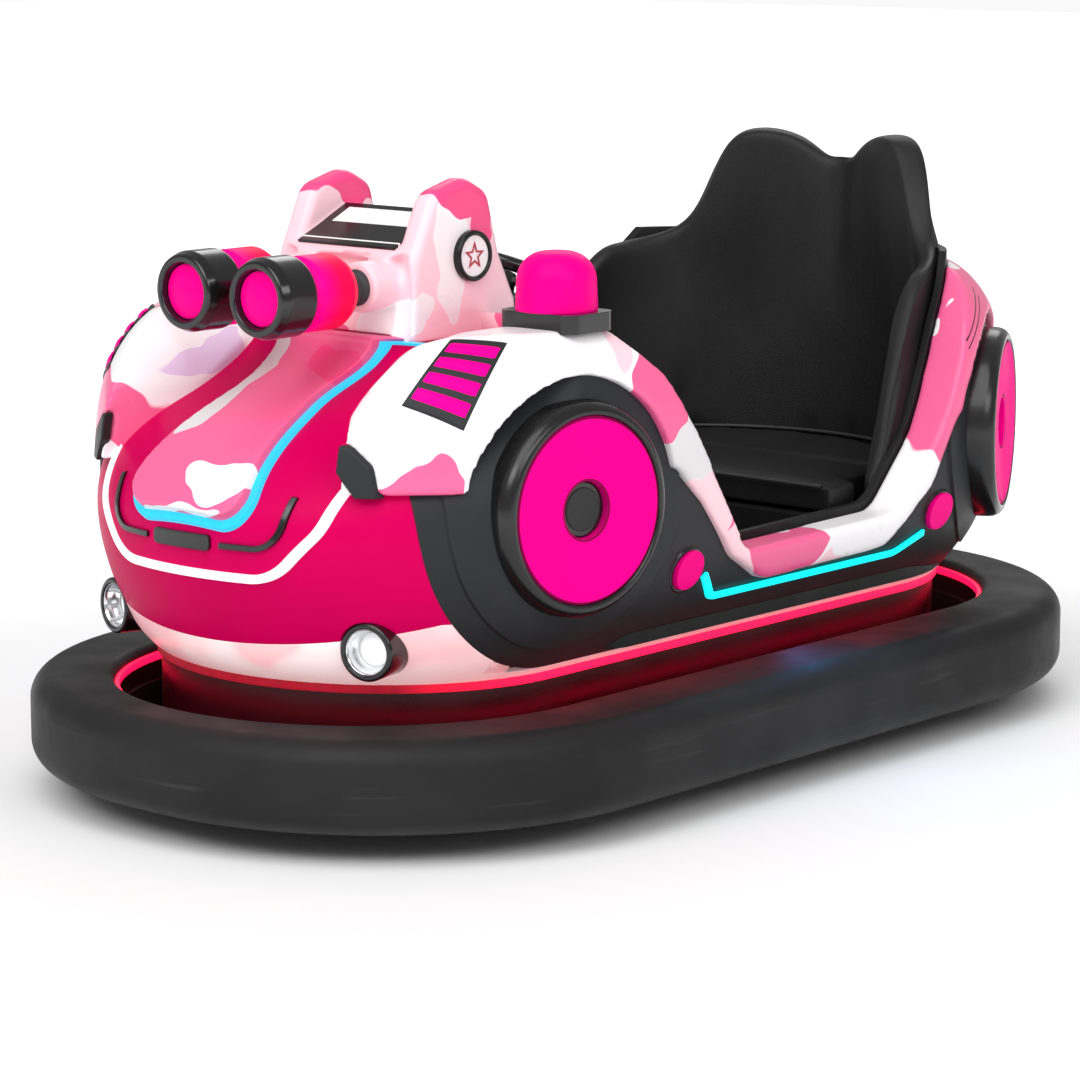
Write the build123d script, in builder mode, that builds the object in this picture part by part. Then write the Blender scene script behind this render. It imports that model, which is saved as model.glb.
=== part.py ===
"""Battery bumper car with an oval rubber ring, tank-style nose and a two-seat shell.

Frame: origin on the floor under the middle of the ring, +Z up, the nose points
along -Y, and +X is the car's own left side. All sizes are in millimetres.
"""
import os
from math import cos, sin, radians, hypot, atan2, sqrt

from build123d import *

os.makedirs("parts", exist_ok=True)

FIT = 0.3                    # clearance between pieces that seat on each other
RUN = 0.05                   # radial clearance of a shaft in its bearing
FAR = 2000.0                 # reach of cutting solids, past the whole car

# Bumper ring
RING_LENGTH = 2084.0
RING_WIDTH = 1150.0
RING_CORNER = RING_WIDTH / 2 - 35.0          # plan radius of the ring's outer corners
RING_BOTTOM = 50.0           # clearance under the ring
RING_TOP = 200.0
RING_SIDE = 155.0            # tube width along the sides
RING_END = 112.0             # tube width at nose and tail
RING_ROUND = 42.0            # rounding of the tube's outer edges
RING_LIP = 16.0              # rounding of the tube's inner top edge
LIGHT_T = 7.0                # thickness of the light strips
RIM_LIGHT_H = 12.0           # height of the strip round the well
GLOW_H = 14.0                # height of the strip under the shell
RING_HALF_W = RING_WIDTH / 2
RING_HALF_L = RING_LENGTH / 2
WELL_HALF_W = RING_HALF_W - RING_SIDE        # the space inside the ring
WELL_HALF_L = RING_HALF_L - RING_END

# Body shell, its widest outline (the waist) measured in from the ring
WAIST_INSET = 105.0
NOSE_INSET = 112.0
TAIL_INSET = 132.0
NOSE_AXIS = 430.0            # length of the elliptical nose in plan
TAIL_AXIS = 460.0            # length of the elliptical tail in plan
WAIST = RING_HALF_W - WAIST_INSET
NOSE_CENTRE = -(RING_HALF_L - NOSE_INSET - NOSE_AXIS)
TAIL_CENTRE = RING_HALF_L - TAIL_INSET - TAIL_AXIS
NOSE_TIP = NOSE_CENTRE - NOSE_AXIS
TAIL_TIP = TAIL_CENTRE + TAIL_AXIS

# Sections of the main shell, inset from the waist outline
# height, side inset, nose inset, tail inset
HULL = (
    (245.0, 94.0, 88.0, 96.0),
    (320.0, 38.0, 34.0, 42.0),
    (420.0, 5.0, 4.0, 6.0),
    (520.0, 0.0, 8.0, 0.0),
    (620.0, 6.0, 118.0, 8.0),
    (750.0, 40.0, 330.0, 120.0),
)
# Sections of the camouflage shell that carries the fenders
CAMO = (
    (300.0, 42.0, 60.0, 50.0),
    (430.0, -9.0, 6.0, -14.0),
    (560.0, -14.0, 6.0, -20.0),
    (680.0, -6.0, 38.0, -8.0),
    (765.0, 34.0, 118.0, 46.0),
    (808.0, 96.0, 240.0, 124.0),
)
SHELL_BOTTOM = HULL[0][0]
SHELL_WALL = 26.0
TAIL_SPLIT = 200.0           # the tail pieces reach this far from the middle

# Dummy wheels moulded in the sides
WHEEL_Z = 515.0
# y, x, turn away from the side in degrees (towards the nose or the tail)
DUMMY_WHEELS = {
    "front": (NOSE_CENTRE - 22.0, WAIST - 14.0, -7.5),
    "rear": (TAIL_CENTRE + 217.0, WAIST - 56.0, 27.0),
}
WHEEL_FRONT_Y = DUMMY_WHEELS["front"][0]
TYRE_R = 170.0
TYRE_PROUD = 32.0            # how far the tyre stands out of the wheel plane
TYRE_BED = 22.0              # depth of the recess under the wheel plane
DISC_R = 147.0
DISC_DISH = 26.0             # height of the disc's edge over the wheel plane
DISC_SET = 19.0              # and of its middle
HUB_FACE = 8.0
HUB_R = 45.0
ARCH_R = 206.0               # edge of the camouflage shell round the front wheel
REAR_ARCH_R = 198.0
REAR_ARCH_DEPTH = 90.0
FLARE_R, REAR_FLARE_R = 226.0, 218.0              # raised flare of the black panel round the front wheel
FLARE_RISE = 5.0
CUT_REACH = 200.0            # how far the cuts for wheels and lamps reach outwards

TURRET_HALF_W = 152.0

# Side panel, lower band and cockpit lines in side view
BAND_Z = 256.0               # top of the pink lower band along the sides
PANEL_R = WHEEL_Z - BAND_Z   # round front edge of the black side panel
# The band's top edge rises from the nose
BAND_NOSE = (NOSE_TIP, 296.0)
BAND_SIDE = (NOSE_CENTRE - 236.0, 352.0)
BAND_RUN = 100.0             # its rise goes on this far behind the side panel's front
LIP_Z = 556.0                # lower edge of the front fenders
SIDE_IN = WAIST - 170.0      # how far in the side panels reach (x)
TUB_HALF_W = WAIST - 62.0    # outside of the cockpit tub
TUB_WALL = 14.0
TUB_FRONT = NOSE_CENTRE + 100.0
TUB_CORNER = 60.0
TUB_TAIL_CENTRE = TAIL_CENTRE - 35.0
TUB_TAIL_AXIS = 380.0
TUB_FLOOR = 262.0
TUB_LIP = 12.0               # the tub stands this far above the edge of the shell
# Cockpit opening in side view: y, z, rounding of that corner
OPENING = (
    (NOSE_CENTRE + 80.0, 900.0, 0.0),
    (NOSE_CENTRE + 68.0, 798.0, 8.0),
    (NOSE_CENTRE + 178.0, 704.0, 150.0),
    (NOSE_CENTRE + 380.0, 396.0, 44.0),
    (TAIL_CENTRE - 150.0, 404.0, 70.0),
    (TAIL_CENTRE - 36.0, 524.0, 160.0),
    (TAIL_CENTRE + 52.0, 698.0, 200.0),
    (TAIL_CENTRE + 152.0, 814.0, 20.0),
    (TAIL_CENTRE + 166.0, 900.0, 0.0),
)
# Lower edge of the camouflage from the nose to the tail: y, z, rounding
CAMO_EDGE = (
    (NOSE_TIP - 200.0, LIP_Z, 0.0),
    (NOSE_CENTRE + 190.0, LIP_Z, 20.0),
    (NOSE_CENTRE + 262.0, 490.0, 80.0),
    (NOSE_CENTRE + 346.0, 390.0, 80.0),
    (NOSE_CENTRE + 446.0, 336.0, 70.0),
    (TAIL_CENTRE - 170.0, 344.0, 60.0),
    (TAIL_CENTRE - 50.0, 440.0, 70.0),
    (TAIL_CENTRE + 25.0, 560.0, 40.0),
    (TAIL_TIP + 200.0, 560.0, 0.0),
)
FENDER_BACK = NOSE_CENTRE + 285.0            # joint of the front fender and the sill band
REAR_START = TAIL_CENTRE - 150.0             # joint of the sill band and the rear fender
# Front fender across the car, one section for each station along it
# station y, inner edge x, height of that edge, x and height of the crest
SHOULDER = (
    (NOSE_TIP - 30.0, WAIST - 180.0, 540.0, WAIST - 60.0, 690.0),
    (NOSE_CENTRE - 210.0, WAIST - 264.0, 668.0, WAIST - 130.0, 782.0),
    (NOSE_CENTRE - 92.0, WAIST - 278.0, 742.0, WAIST - 140.0, 787.0),
    (NOSE_CENTRE + 285.0, WAIST - 282.0, 748.0, WAIST - 140.0, 787.0),
)
# Its inner edge in plan: x, y, rounding
FENDER_INNER = (
    (WAIST - 190.0, NOSE_TIP - 170.0, 0.0),
    (WAIST - 208.0, NOSE_CENTRE - 332.0, 20.0),
    (WAIST - 270.0, NOSE_CENTRE - 200.0, 150.0),
    (WAIST - 278.0, NOSE_CENTRE - 92.0, 8.0),
    (TURRET_HALF_W, NOSE_CENTRE - 78.0, 0.0),
)

# The hood is drawn on a plane that leans back from the nose tip
HOOD_LEAN = 50.0
HOOD_Z = 500.0
HOOD_REACH = 260.0           # how far behind that plane the hood is looked for
# Hood tongue in that plane: x, distance up the plane, rounding
TONGUE = (
    (200.0, 424.0, 0.0),
    (114.0, 414.0, 46.0),
    (88.0, 285.0, 180.0),
    (136.0, 0.0, 52.0),
)
TONGUE_RISE = 22.0
LED_W = 11.0
LED_RISE = 8.0
NOSE_LIFT = 0.56             # upward share of an outward move, for the sloping nose
# Nose strip and slits in front view: x, z, rounding
NOSE_LED = (
    (WAIST - 206.0, 580.0, 0.0),
    (WAIST - 230.0, 500.0, 80.0),
    (WAIST - 304.0, 419.0, 90.0),
)
NOSE_LED_W = 14.0
SLIT = (
    (190.0, 548.0, 0.0),
    (178.0, 468.0, 46.0),
    (80.0, 468.0, 0.0),
)
SLIT_W = 9.0
PLATE_W, PLATE_H, PLATE_Z = 122.0, 25.0, 470.0
STRIP_RISE = 6.0
# Black tip at the front corner of each fender, in front view: x, z
TIP = (
    (WAIST - 210.0, 632.0),
    (WAIST - 196.0, 630.0),
    (WAIST - 166.0, 600.0),
    (WAIST - 156.0, 552.0),
    (WAIST - 184.0, 552.0),
    (WAIST - 210.0, 590.0),
)
TIP_RISE, TIP_DEPTH = 4.0, 14.0

# Louvres on the front of the fenders: slats in a frame that lies in the surface
LOUVRE_X, LOUVRE_Z = WAIST - 107.0, 727.0
LOUVRE_SET = 73.1398         # how far the louvres lie behind the outline of the waist
LOUVRE_Y = NOSE_CENTRE - NOSE_AXIS * sqrt(1 - (LOUVRE_X / WAIST) ** 2) + LOUVRE_SET
LOUVRE_W, LOUVRE_H = 80.0, 132.0
LOUVRE_OUT = (0.621, -0.544, 0.563)          # direction that the louvres face
LOUVRE_SKEW = 24.0           # degrees that the frame leans in its own plane
LOUVRE_FRAME = 7.0
LOUVRE_REACH = 60.0          # how far out the cut for the louvres reaches
LOUVRE_PITCH, LOUVRE_BAR = 31.0, 18.0
LOUVRE_DEPTH = 12.0
SLAT_RISE = 4.0

# Head lamps
LAMP_X, LAMP_Y, LAMP_Z = WAIST - 194.0, NOSE_CENTRE - 292.0, 311.0
LAMP_R = 46.0
LAMP_TURN = 14.0             # degrees outwards
LAMP_BACK, LAMP_PROUD = 60.0, 30.0
LENS_R = 36.0
LENS_SET = 30.0              # how far the lens sits back from the bezel's rim

# Turret and its two cannons
TURRET_BASE_Z = 730.0
EAR_T = 45.0
EAR_ROUND = 15.0
TURRET_BACK = NOSE_CENTRE + 182.0
# Side view of the turret body and of its raised sides: y, z, rounding
TURRET_SIDE = (
    (NOSE_CENTRE - 98.0, TURRET_BASE_Z, 0.0),
    (NOSE_CENTRE - 98.0, 850.0, 22.0),
    (NOSE_CENTRE - 62.0, 895.0, 6.0),
    (NOSE_CENTRE + 50.0, 948.0, 6.0),
    (NOSE_CENTRE + 82.0, 948.0, 10.0),
    (TURRET_BACK - 12.0, 800.0, 30.0),
    (TURRET_BACK - 12.0, TURRET_BASE_Z, 0.0),
)
EAR_SIDE = (
    (NOSE_CENTRE - 80.0, TURRET_BASE_Z, 0.0),
    (NOSE_CENTRE - 66.0, 880.0, 60.0),
    (NOSE_CENTRE - 18.0, 984.0, 40.0),
    (NOSE_CENTRE + 62.0, 1006.0, 34.0),
    (NOSE_CENTRE + 114.0, 980.0, 34.0),
    (NOSE_CENTRE + 142.0, 880.0, 60.0),
    (TURRET_BACK, 800.0, 20.0),
    (TURRET_BACK, TURRET_BASE_Z, 0.0),
)
SCREEN_W = 2 * (TURRET_HALF_W - EAR_T) - 1.0
SCREEN_T = 4.0
STAR_Y, STAR_Z, STAR_R = NOSE_CENTRE + 67.0, 880.0, 41.0
CANNON_X, CANNON_Z = 81.0, 839.0
MUZZLE_Y = NOSE_CENTRE - 346.0
# Cannon stages from the muzzle back
MUZZLE_LEN, MUZZLE_R = 80.0, 64.0
COLLAR_LEN, COLLAR_R = 96.0, 60.0
BARREL_R = 29.0
SOCKET_TUBE_R, SOCKET_TUBE_LEN = 41.0, 58.0
FACE_R = 44.0

# Beacon on the left fender
BEACON_X, BEACON_Y, BEACON_SEAT = WAIST - 108.0, NOSE_CENTRE + 34.0, 812.0
BEACON_BASE = (154.0, 114.0)
BEACON_BASE_T = 30.0
BEACON_CORNER = 24.0
BEACON_R, BEACON_H = 65.0, 92.0

# Side lamps and sill light: y, z
SIDE_LAMPS = ((NOSE_CENTRE + 244.0, 381.0), (TAIL_CENTRE - 9.0, 387.0))
SIDE_LAMP_R = 33.0
SIDE_LAMP_RISE = 9.0
SILL_LED = (
    (NOSE_CENTRE + 292.0, 366.0, 0.0),
    (NOSE_CENTRE + 330.0, 322.0, 26.0),
    (TAIL_CENTRE - 110.0, 324.0, 60.0),
    (TAIL_CENTRE - 40.0, 352.0, 0.0),
)
SILL_LED_W = 12.0

# Seat
SEAT_BASE_Z = 396.0
SEAT_FRONT = TAIL_CENTRE - 235.0
CUSHION_T = 52.0
BACK_T = 46.0
SEAT_BACK_IN = 22.0          # the back starts this far behind the edge of the opening
# Front view of the seat back, right half: x, z, rounding
SEAT_DIP = 958.0
SEAT_TOP = (
    (58.0, SEAT_DIP, 46.0),
    (108.0, 1020.0, 50.0),
    (228.0, 1020.0, 58.0),
    (298.0, 868.0, 80.0),
    (352.0, 826.0, 60.0),
    (TUB_HALF_W, 792.0, 0.0),
)

# Chassis and running gear
PLATE_T = 6.0
PLATE_BOTTOM = 72.0
RIM_H = 60.0
COLLAR_INSET = 8.0
COLLAR_WALL = 18.0
DRIVE_Y = NOSE_CENTRE - 20.0
DRIVE_R, DRIVE_W = 90.0, 52.0
DRIVE_HOLE_R = 125.0
FORK_T = 10.0
CROWN_R, CROWN_T = 70.0, 12.0
POST_T = 30.0                # posts that carry the bridge over the drive wheel
KING_R = 16.0
BRIDGE_T = 10.0
REAR_X, REAR_Y = WAIST - 190.0, TAIL_CENTRE + 60.0
REAR_R, REAR_W = 76.0, 44.0
AXLE_R = 10.0
AXLE_PLATE = (70.0, 52.0)    # length and height of the plates that hold a rear axle
BLADE_W = 48.0               # width of the steered fork's blades
CLEAR = 6.0                  # clearance of moving pieces
BATTERY = (260.0, 420.0, 150.0)
TIE_X, TIE_Y, TIE_R = 240.0, 320.0, 5.5      # tie-down holes in the tray

# Steering wheel and dashboard
HELM = (0.0, TUB_FRONT + 200.0, 815.0)
HELM_R, HELM_TUBE = 140.0, 12.0
HELM_HUB_R, HELM_HUB_H = 36.0, 36.0
HELM_HUB_DROP = 24.0         # its foot lies this far under the wheel's plane
SPOKE_W, SPOKE_T = 30.0, 9.0
COLUMN_LEAN = 24.0           # degrees the column leans back from vertical
COLUMN_LEN = 225.0
JACKET_FROM = 60.0           # along the column, down from the wheel
JACKET_TO = COLUMN_LEN + 5.0
SHAFT_R, JACKET_R = 12.0, 26.0
DASH_HALF_W = 150.0
DASH_FRONT = TUB_FRONT + TUB_WALL + FIT
# Side view of the dashboard: y, z
DASH = (
    (DASH_FRONT, 470.0),
    (DASH_FRONT, 742.0),
    (TUB_FRONT + 80.0, 742.0),
    (TUB_FRONT + 138.0, 690.0),
    (TUB_FRONT + 138.0, 640.0),
    (TUB_FRONT + 40.0, 470.0),
)
PEDAL = (92.0, TUB_FRONT + 70.0, 70.0, 110.0, 14.0)    # x, y, width, length, thickness
SOCKET_Z, SOCKET_R, SOCKET_BORE = 420.0, 22.0, 8.0
SOCKET_PROUD = 12.0          # how far the charging socket stands out of the tail
SOCKET_DEPTH = 10.0          # depth of its bore


def shell_outline(side_in, nose_in, tail_in):
    """Closed plan outline of the body: elliptical nose and tail, straight sides."""
    w = WAIST - side_in
    EllipticalCenterArc((0, NOSE_CENTRE), w, NOSE_AXIS - nose_in, 180, arc_size=180)
    Line((w, NOSE_CENTRE), (w, TAIL_CENTRE))
    EllipticalCenterArc((0, TAIL_CENTRE), w, TAIL_AXIS - tail_in, 0, arc_size=180)
    Line((-w, TAIL_CENTRE), (-w, NOSE_CENTRE))


def shell_solid(sections, grow=0.0, top_drop=0.0):
    """Loft of the plan outlines, grown outwards by a wall or a clearance."""
    top = sections[-1][0]
    with BuildPart() as shell:
        for z, side_in, nose_in, tail_in in sections:
            drop = top_drop if z == top else 0.0
            with BuildSketch(Plane.XY.offset(z - drop)):
                with BuildLine():
                    shell_outline(side_in - grow, nose_in - grow, tail_in - grow)
                make_face()
        loft()
    return shell.part


def rounded_path(points):
    """Points (a, b, radius) joined by lines with arcs at the corners."""
    radii = [r for a, b, r in points[1:-1]]
    return FilletPolyline(*[(a, b) for a, b, r in points], radius=radii)


def side_prism(points, x_from, x_to, close_z):
    """Prism along X of the side-view region between a path and the height close_z."""
    with BuildPart() as prism:
        with BuildSketch(Plane.YZ.offset(x_from)):
            with BuildLine():
                rounded_path(points)
                y0, y1 = points[0][0], points[-1][0]
                Polyline((y0, points[0][1]), (y0, close_z), (y1, close_z), (y1, points[-1][1]))
            make_face()
        extrude(amount=x_to - x_from)
    return prism.part


def side_disc(y, radius, x_from, x_to):
    """Disc across the side view at the height of the dummy wheels."""
    with BuildPart() as disc:
        with BuildSketch(Plane.YZ.offset(x_from)):
            with Locations((y, WHEEL_Z)):
                Circle(radius)
        extrude(amount=x_to - x_from)
    return disc.part


def block(x0, x1, y0, y1, z0, z1):
    """Box between two corners."""
    with BuildPart() as box:
        with Locations(((x0 + x1) / 2, (y0 + y1) / 2, (z0 + z1) / 2)):
            Box(x1 - x0, y1 - y0, z1 - z0)
    return box.part


def tub_outline(grow=0.0):
    """Plan of the cockpit tub: square front with round corners, elliptical back."""
    w = TUB_HALF_W + grow
    front = TUB_FRONT - grow
    corner = max(TUB_CORNER + grow, 1.0)
    Line((w, front + corner), (w, TUB_TAIL_CENTRE))
    EllipticalCenterArc((0, TUB_TAIL_CENTRE), w, TUB_TAIL_AXIS + grow, 0, arc_size=180)
    Line((-w, TUB_TAIL_CENTRE), (-w, front + corner))
    CenterArc((-w + corner, front + corner), corner, 180, 90)
    Line((-w + corner, front), (w - corner, front))
    CenterArc((w - corner, front + corner), corner, 270, 90)


def tub_prism(grow, z0, z1):
    """Upright prism of the tub's plan."""
    with BuildPart() as prism:
        with BuildSketch(Plane.XY.offset(z0)):
            with BuildLine():
                tub_outline(grow)
            make_face()
        extrude(amount=z1 - z0)
    return prism.part


def wheel_plane(where, side):
    """Plane of a dummy wheel, its z axis pointing out of the car."""
    y, x, turn = DUMMY_WHEELS[where]
    a = radians(turn)
    return Plane(
        origin=(side * x, y, WHEEL_Z),
        x_dir=(-sin(a) * side, cos(a), 0),
        z_dir=(side * cos(a), sin(a), 0),
    )


def wheel_round(where, radius, depth):
    """Cylinder about a left dummy wheel's axle, from a depth inside to well outside."""
    with BuildPart() as cylinder:
        with BuildSketch(wheel_plane(where, 1).offset(-depth)):
            Circle(radius)
        extrude(amount=depth + CUT_REACH)
    return cylinder.part


def turned(plane, points):
    """Solid of revolution about the plane's z axis; points are radius, height, rounding."""
    section = Plane(origin=plane.origin, x_dir=plane.x_dir, z_dir=-plane.y_dir)
    with BuildPart() as solid:
        with BuildSketch(section):
            with BuildLine():
                flat = [(r, h) for r, h, rounding in points]
                FilletPolyline(*flat, radius=[p[2] for p in points], close=True)
            make_face()
        revolve(axis=Axis(plane.origin, plane.z_dir))
    return solid.part


def u_prism(plane, points, width, ahead, behind):
    """Prism of a U drawn from its right half, or of a stripe along that U."""
    left = [(-x, v, r) for x, v, r in points]
    path = left + [(x, v, r) for x, v, r in reversed(points)]
    with BuildPart() as prism:
        with BuildSketch(plane.offset(-behind)):
            with BuildLine():
                rounded_path(path)
                if not width:
                    Line(path[-1][:2], path[0][:2])
            if width:
                trace(line_width=width)
            else:
                make_face()
        extrude(amount=ahead + behind)
        add(block(-FAR, FAR, -FAR, TUB_FRONT, 0, FAR), mode=Mode.INTERSECT)
    return prism.part


def raised_skin(rise):
    """Main shell moved outwards by the rise, on its sloping nose too."""
    return shell_solid(HULL, rise).moved(Location((0, 0, NOSE_LIFT * rise)))


def both_sides(piece):
    """A left piece together with its mirror image."""
    with BuildPart() as pair:
        add(piece)
        mirror(about=Plane.YZ)
    return pair.part


def save(part, name):
    part.label = name
    export_step(part, f"parts/{name}.step")
    print(f"{name:24s} {len(part.solids())} solids {part.volume / 1e6:9.2f} l")


hull = shell_solid(HULL)
camo_hull = shell_solid(CAMO)
hull_inner = shell_solid(HULL, -SHELL_WALL, SHELL_WALL)
tub_space = tub_prism(FIT, TUB_FLOOR - FIT, FAR)
opening = side_prism(OPENING, -FAR, FAR, FAR)
front_bed = wheel_round("front", TYRE_R + FIT, TYRE_BED)
rear_bed = wheel_round("rear", TYRE_R + FIT, TYRE_BED)

# Bumper ring and its light
with BuildPart() as bumper_ring:
    with BuildSketch(Plane.XY.offset(RING_BOTTOM)):
        RectangleRounded(RING_WIDTH, RING_LENGTH, RING_CORNER)
        RectangleRounded(2 * WELL_HALF_W, 2 * WELL_HALF_L, WELL_HALF_W - 1, mode=Mode.SUBTRACT)
    extrude(amount=RING_TOP - RING_BOTTOM)
    top, bottom = faces().sort_by(Axis.Z)[-1], faces().sort_by(Axis.Z)[0]
    outer = top.outer_wire().edges() + bottom.outer_wire().edges()
    fillet(outer, RING_ROUND)
    lip = faces().sort_by(Axis.Z)[-1].inner_wires()[0].edges()
    fillet(lip, RING_LIP)
save(bumper_ring.part, "bumper_ring")

rim_top = RING_TOP - RING_LIP
with BuildPart() as rim_light:
    with BuildSketch(Plane.XY.offset(rim_top - RIM_LIGHT_H)):
        for gap, keep in ((FIT, Mode.ADD), (FIT + LIGHT_T, Mode.SUBTRACT)):
            half_w = WELL_HALF_W - gap
            RectangleRounded(2 * half_w, 2 * (WELL_HALF_L - gap), half_w - 1, mode=keep)
    extrude(amount=RIM_LIGHT_H)
save(rim_light.part, "rim_light")

# Chassis tray with the bridge that carries the steered drive wheel
CROWN_TOP = 2 * DRIVE_R + CLEAR + CROWN_T
BRIDGE_Z = CROWN_TOP + CLEAR
PLATE_TOP = PLATE_BOTTOM + PLATE_T
AXLE_Z = REAR_R
with BuildPart() as chassis:
    with BuildSketch(Plane.XY.offset(PLATE_BOTTOM)):
        half_w = WELL_HALF_W - FIT
        RectangleRounded(2 * half_w, 2 * (WELL_HALF_L - FIT), half_w - 1)
        with Locations((0, DRIVE_Y)):
            Circle(DRIVE_HOLE_R, mode=Mode.SUBTRACT)
        with Locations((REAR_X, REAR_Y), (-REAR_X, REAR_Y)):
            Rectangle(REAR_W + 2 * CLEAR, 2 * (REAR_R + CLEAR), mode=Mode.SUBTRACT)
        with GridLocations(2 * TIE_X, 2 * TIE_Y, 2, 2):
            Circle(TIE_R, mode=Mode.SUBTRACT)
    extrude(amount=PLATE_T)
    with BuildSketch(Plane.XY.offset(PLATE_TOP)):
        for gap, keep in ((FIT, Mode.ADD), (FIT + PLATE_T, Mode.SUBTRACT)):
            half_w = WELL_HALF_W - gap
            RectangleRounded(2 * half_w, 2 * (WELL_HALF_L - gap), half_w - 1, mode=keep)
    extrude(amount=RIM_H)
    post_x = CROWN_R + FORK_T + POST_T
    with BuildSketch(Plane.XY.offset(PLATE_TOP)):
        with Locations(*[(sx * post_x, DRIVE_Y + sy * post_x) for sx in (-1, 1) for sy in (-1, 1)]):
            Rectangle(POST_T, POST_T)
    extrude(amount=BRIDGE_Z - PLATE_TOP)
    with BuildSketch(Plane.XY.offset(BRIDGE_Z)):
        with Locations((0, DRIVE_Y)):
            RectangleRounded(2 * post_x + POST_T, 2 * post_x + POST_T, 20)
            Circle(KING_R + RUN, mode=Mode.SUBTRACT)
    extrude(amount=BRIDGE_T)
    fork_x = REAR_W / 2 + CLEAR + FORK_T / 2
    for side in (-1, 1):
        for edge in (-1, 1):
            with BuildSketch(Plane.YZ.offset(side * REAR_X + edge * fork_x - FORK_T / 2)):
                with Locations((REAR_Y, PLATE_TOP + AXLE_PLATE[1] / 2)):
                    Rectangle(*AXLE_PLATE)
            extrude(amount=FORK_T)
        with BuildSketch(Plane.YZ.offset(side * REAR_X - fork_x - FORK_T / 2)):
            with Locations((REAR_Y, AXLE_Z)):
                Circle(AXLE_R)
        extrude(amount=2 * fork_x + FORK_T)
save(chassis.part, "chassis")

with BuildPart() as base_collar:
    with BuildSketch(Plane.XY.offset(PLATE_TOP)):
        for gap, keep in ((COLLAR_INSET, Mode.ADD), (COLLAR_INSET + COLLAR_WALL, Mode.SUBTRACT)):
            with BuildLine():
                shell_outline(*[v + gap for v in HULL[0][1:]])
            make_face(mode=keep)
    extrude(amount=SHELL_BOTTOM - PLATE_TOP)
save(base_collar.part, "base_collar")

# Lower band: the bottom strip of the shell, deeper at the nose
panel_disc = side_disc(WHEEL_FRONT_Y, PANEL_R, SIDE_IN, FAR)
panel_low = block(SIDE_IN, FAR, -FAR, FAR, BAND_Z, FAR)
with BuildPart() as panel_nose:
    add(panel_disc)
    add(panel_low, mode=Mode.INTERSECT)
nose_cut = both_sides(panel_nose.part)
band_end = BAND_SIDE[0] + BAND_RUN
with BuildPart() as band_prism:
    with BuildSketch(Plane.YZ.offset(-FAR)):
        with BuildLine():
            Polyline(
                (-FAR, SHELL_BOTTOM), (-FAR, BAND_NOSE[1]), BAND_NOSE, BAND_SIDE,
                (band_end, BAND_SIDE[1]), (band_end, BAND_Z),
                (FAR, BAND_Z), (FAR, SHELL_BOTTOM), close=True,
            )
        make_face()
    extrude(amount=2 * FAR)

# Camouflage shell: front fenders, sill bands, rear fenders and tail deck
camo_left = side_prism(CAMO_EDGE, 0, FAR, FAR)
front_arch = side_disc(WHEEL_FRONT_Y, ARCH_R, SIDE_IN, FAR)
rear_arch = wheel_round("rear", REAR_ARCH_R, REAR_ARCH_DEPTH)
with BuildPart() as fender_plan:
    with BuildSketch():
        with BuildLine():
            rounded_path(FENDER_INNER)
            (x0, y0), (x1, y1) = FENDER_INNER[0][:2], FENDER_INNER[-1][:2]
            Polyline((x1, y1), (x1, FENDER_BACK), (FAR, FENDER_BACK), (FAR, y0), (x0, y0))
        make_face()
    extrude(amount=FAR)
with BuildPart() as shoulder:
    for y, x_in, z_in, x_crest, z_crest in SHOULDER:
        with BuildSketch(Plane.XZ.offset(-y)):
            with BuildLine():
                Line((TURRET_HALF_W, z_in), (x_in, z_in))
                TangentArc((x_crest, z_crest), (x_in, z_in), tangent=(-1, 0))
                Polyline(
                    (x_crest, z_crest), (RING_HALF_W, z_crest), (RING_HALF_W, 0),
                    (TURRET_HALF_W, 0), (TURRET_HALF_W, z_in),
                )
            make_face()
    loft(ruled=True)
with BuildPart() as tip_zone:
    with BuildSketch(Plane.XZ.offset(-NOSE_CENTRE)):
        with BuildLine():
            Polyline(*TIP, close=True)
        make_face()
    extrude(amount=FAR)
with BuildPart() as fender_tip:
    add(shell_solid(CAMO, TIP_RISE))
    add(shell_solid(CAMO, -TIP_DEPTH, TIP_DEPTH), mode=Mode.SUBTRACT)
    add(tip_zone.part, mode=Mode.INTERSECT)
    add(hull, mode=Mode.SUBTRACT)
with BuildPart() as fender_full:
    add(camo_hull)
    add(camo_left, mode=Mode.INTERSECT)
    add(fender_plan.part, mode=Mode.INTERSECT)
    add(shoulder.part, mode=Mode.INTERSECT)
    add(front_arch, mode=Mode.SUBTRACT)
    add(opening, mode=Mode.SUBTRACT)
    add(tub_space, mode=Mode.SUBTRACT)
    add(front_bed, mode=Mode.SUBTRACT)
    add(fender_tip.part, mode=Mode.SUBTRACT)

# Louvres let into the fenders
louvre_plane = Plane(
    origin=(LOUVRE_X, LOUVRE_Y, LOUVRE_Z),
    x_dir=(-LOUVRE_OUT[1], LOUVRE_OUT[0], 0), z_dir=LOUVRE_OUT,
).rotated((0, 0, -LOUVRE_SKEW))
with BuildPart() as louvre_plug:
    with BuildSketch(louvre_plane.offset(-LOUVRE_DEPTH)):
        RectangleRounded(LOUVRE_W, LOUVRE_H, 8)
    extrude(amount=LOUVRE_DEPTH + LOUVRE_REACH)
    add(fender_full.part, mode=Mode.INTERSECT)
with BuildPart() as slat_bars:
    with BuildSketch(louvre_plane.offset(-LOUVRE_DEPTH / 2)):
        with GridLocations(0, LOUVRE_PITCH, 1, 4):
            RectangleRounded(LOUVRE_W - 2 * LOUVRE_FRAME, LOUVRE_BAR, 3)
    extrude(amount=LOUVRE_DEPTH + LOUVRE_REACH)
with BuildPart() as louvre:
    add(louvre_plug)
    add(slat_bars, mode=Mode.SUBTRACT)
save(both_sides(louvre.part), "louvres")
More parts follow.
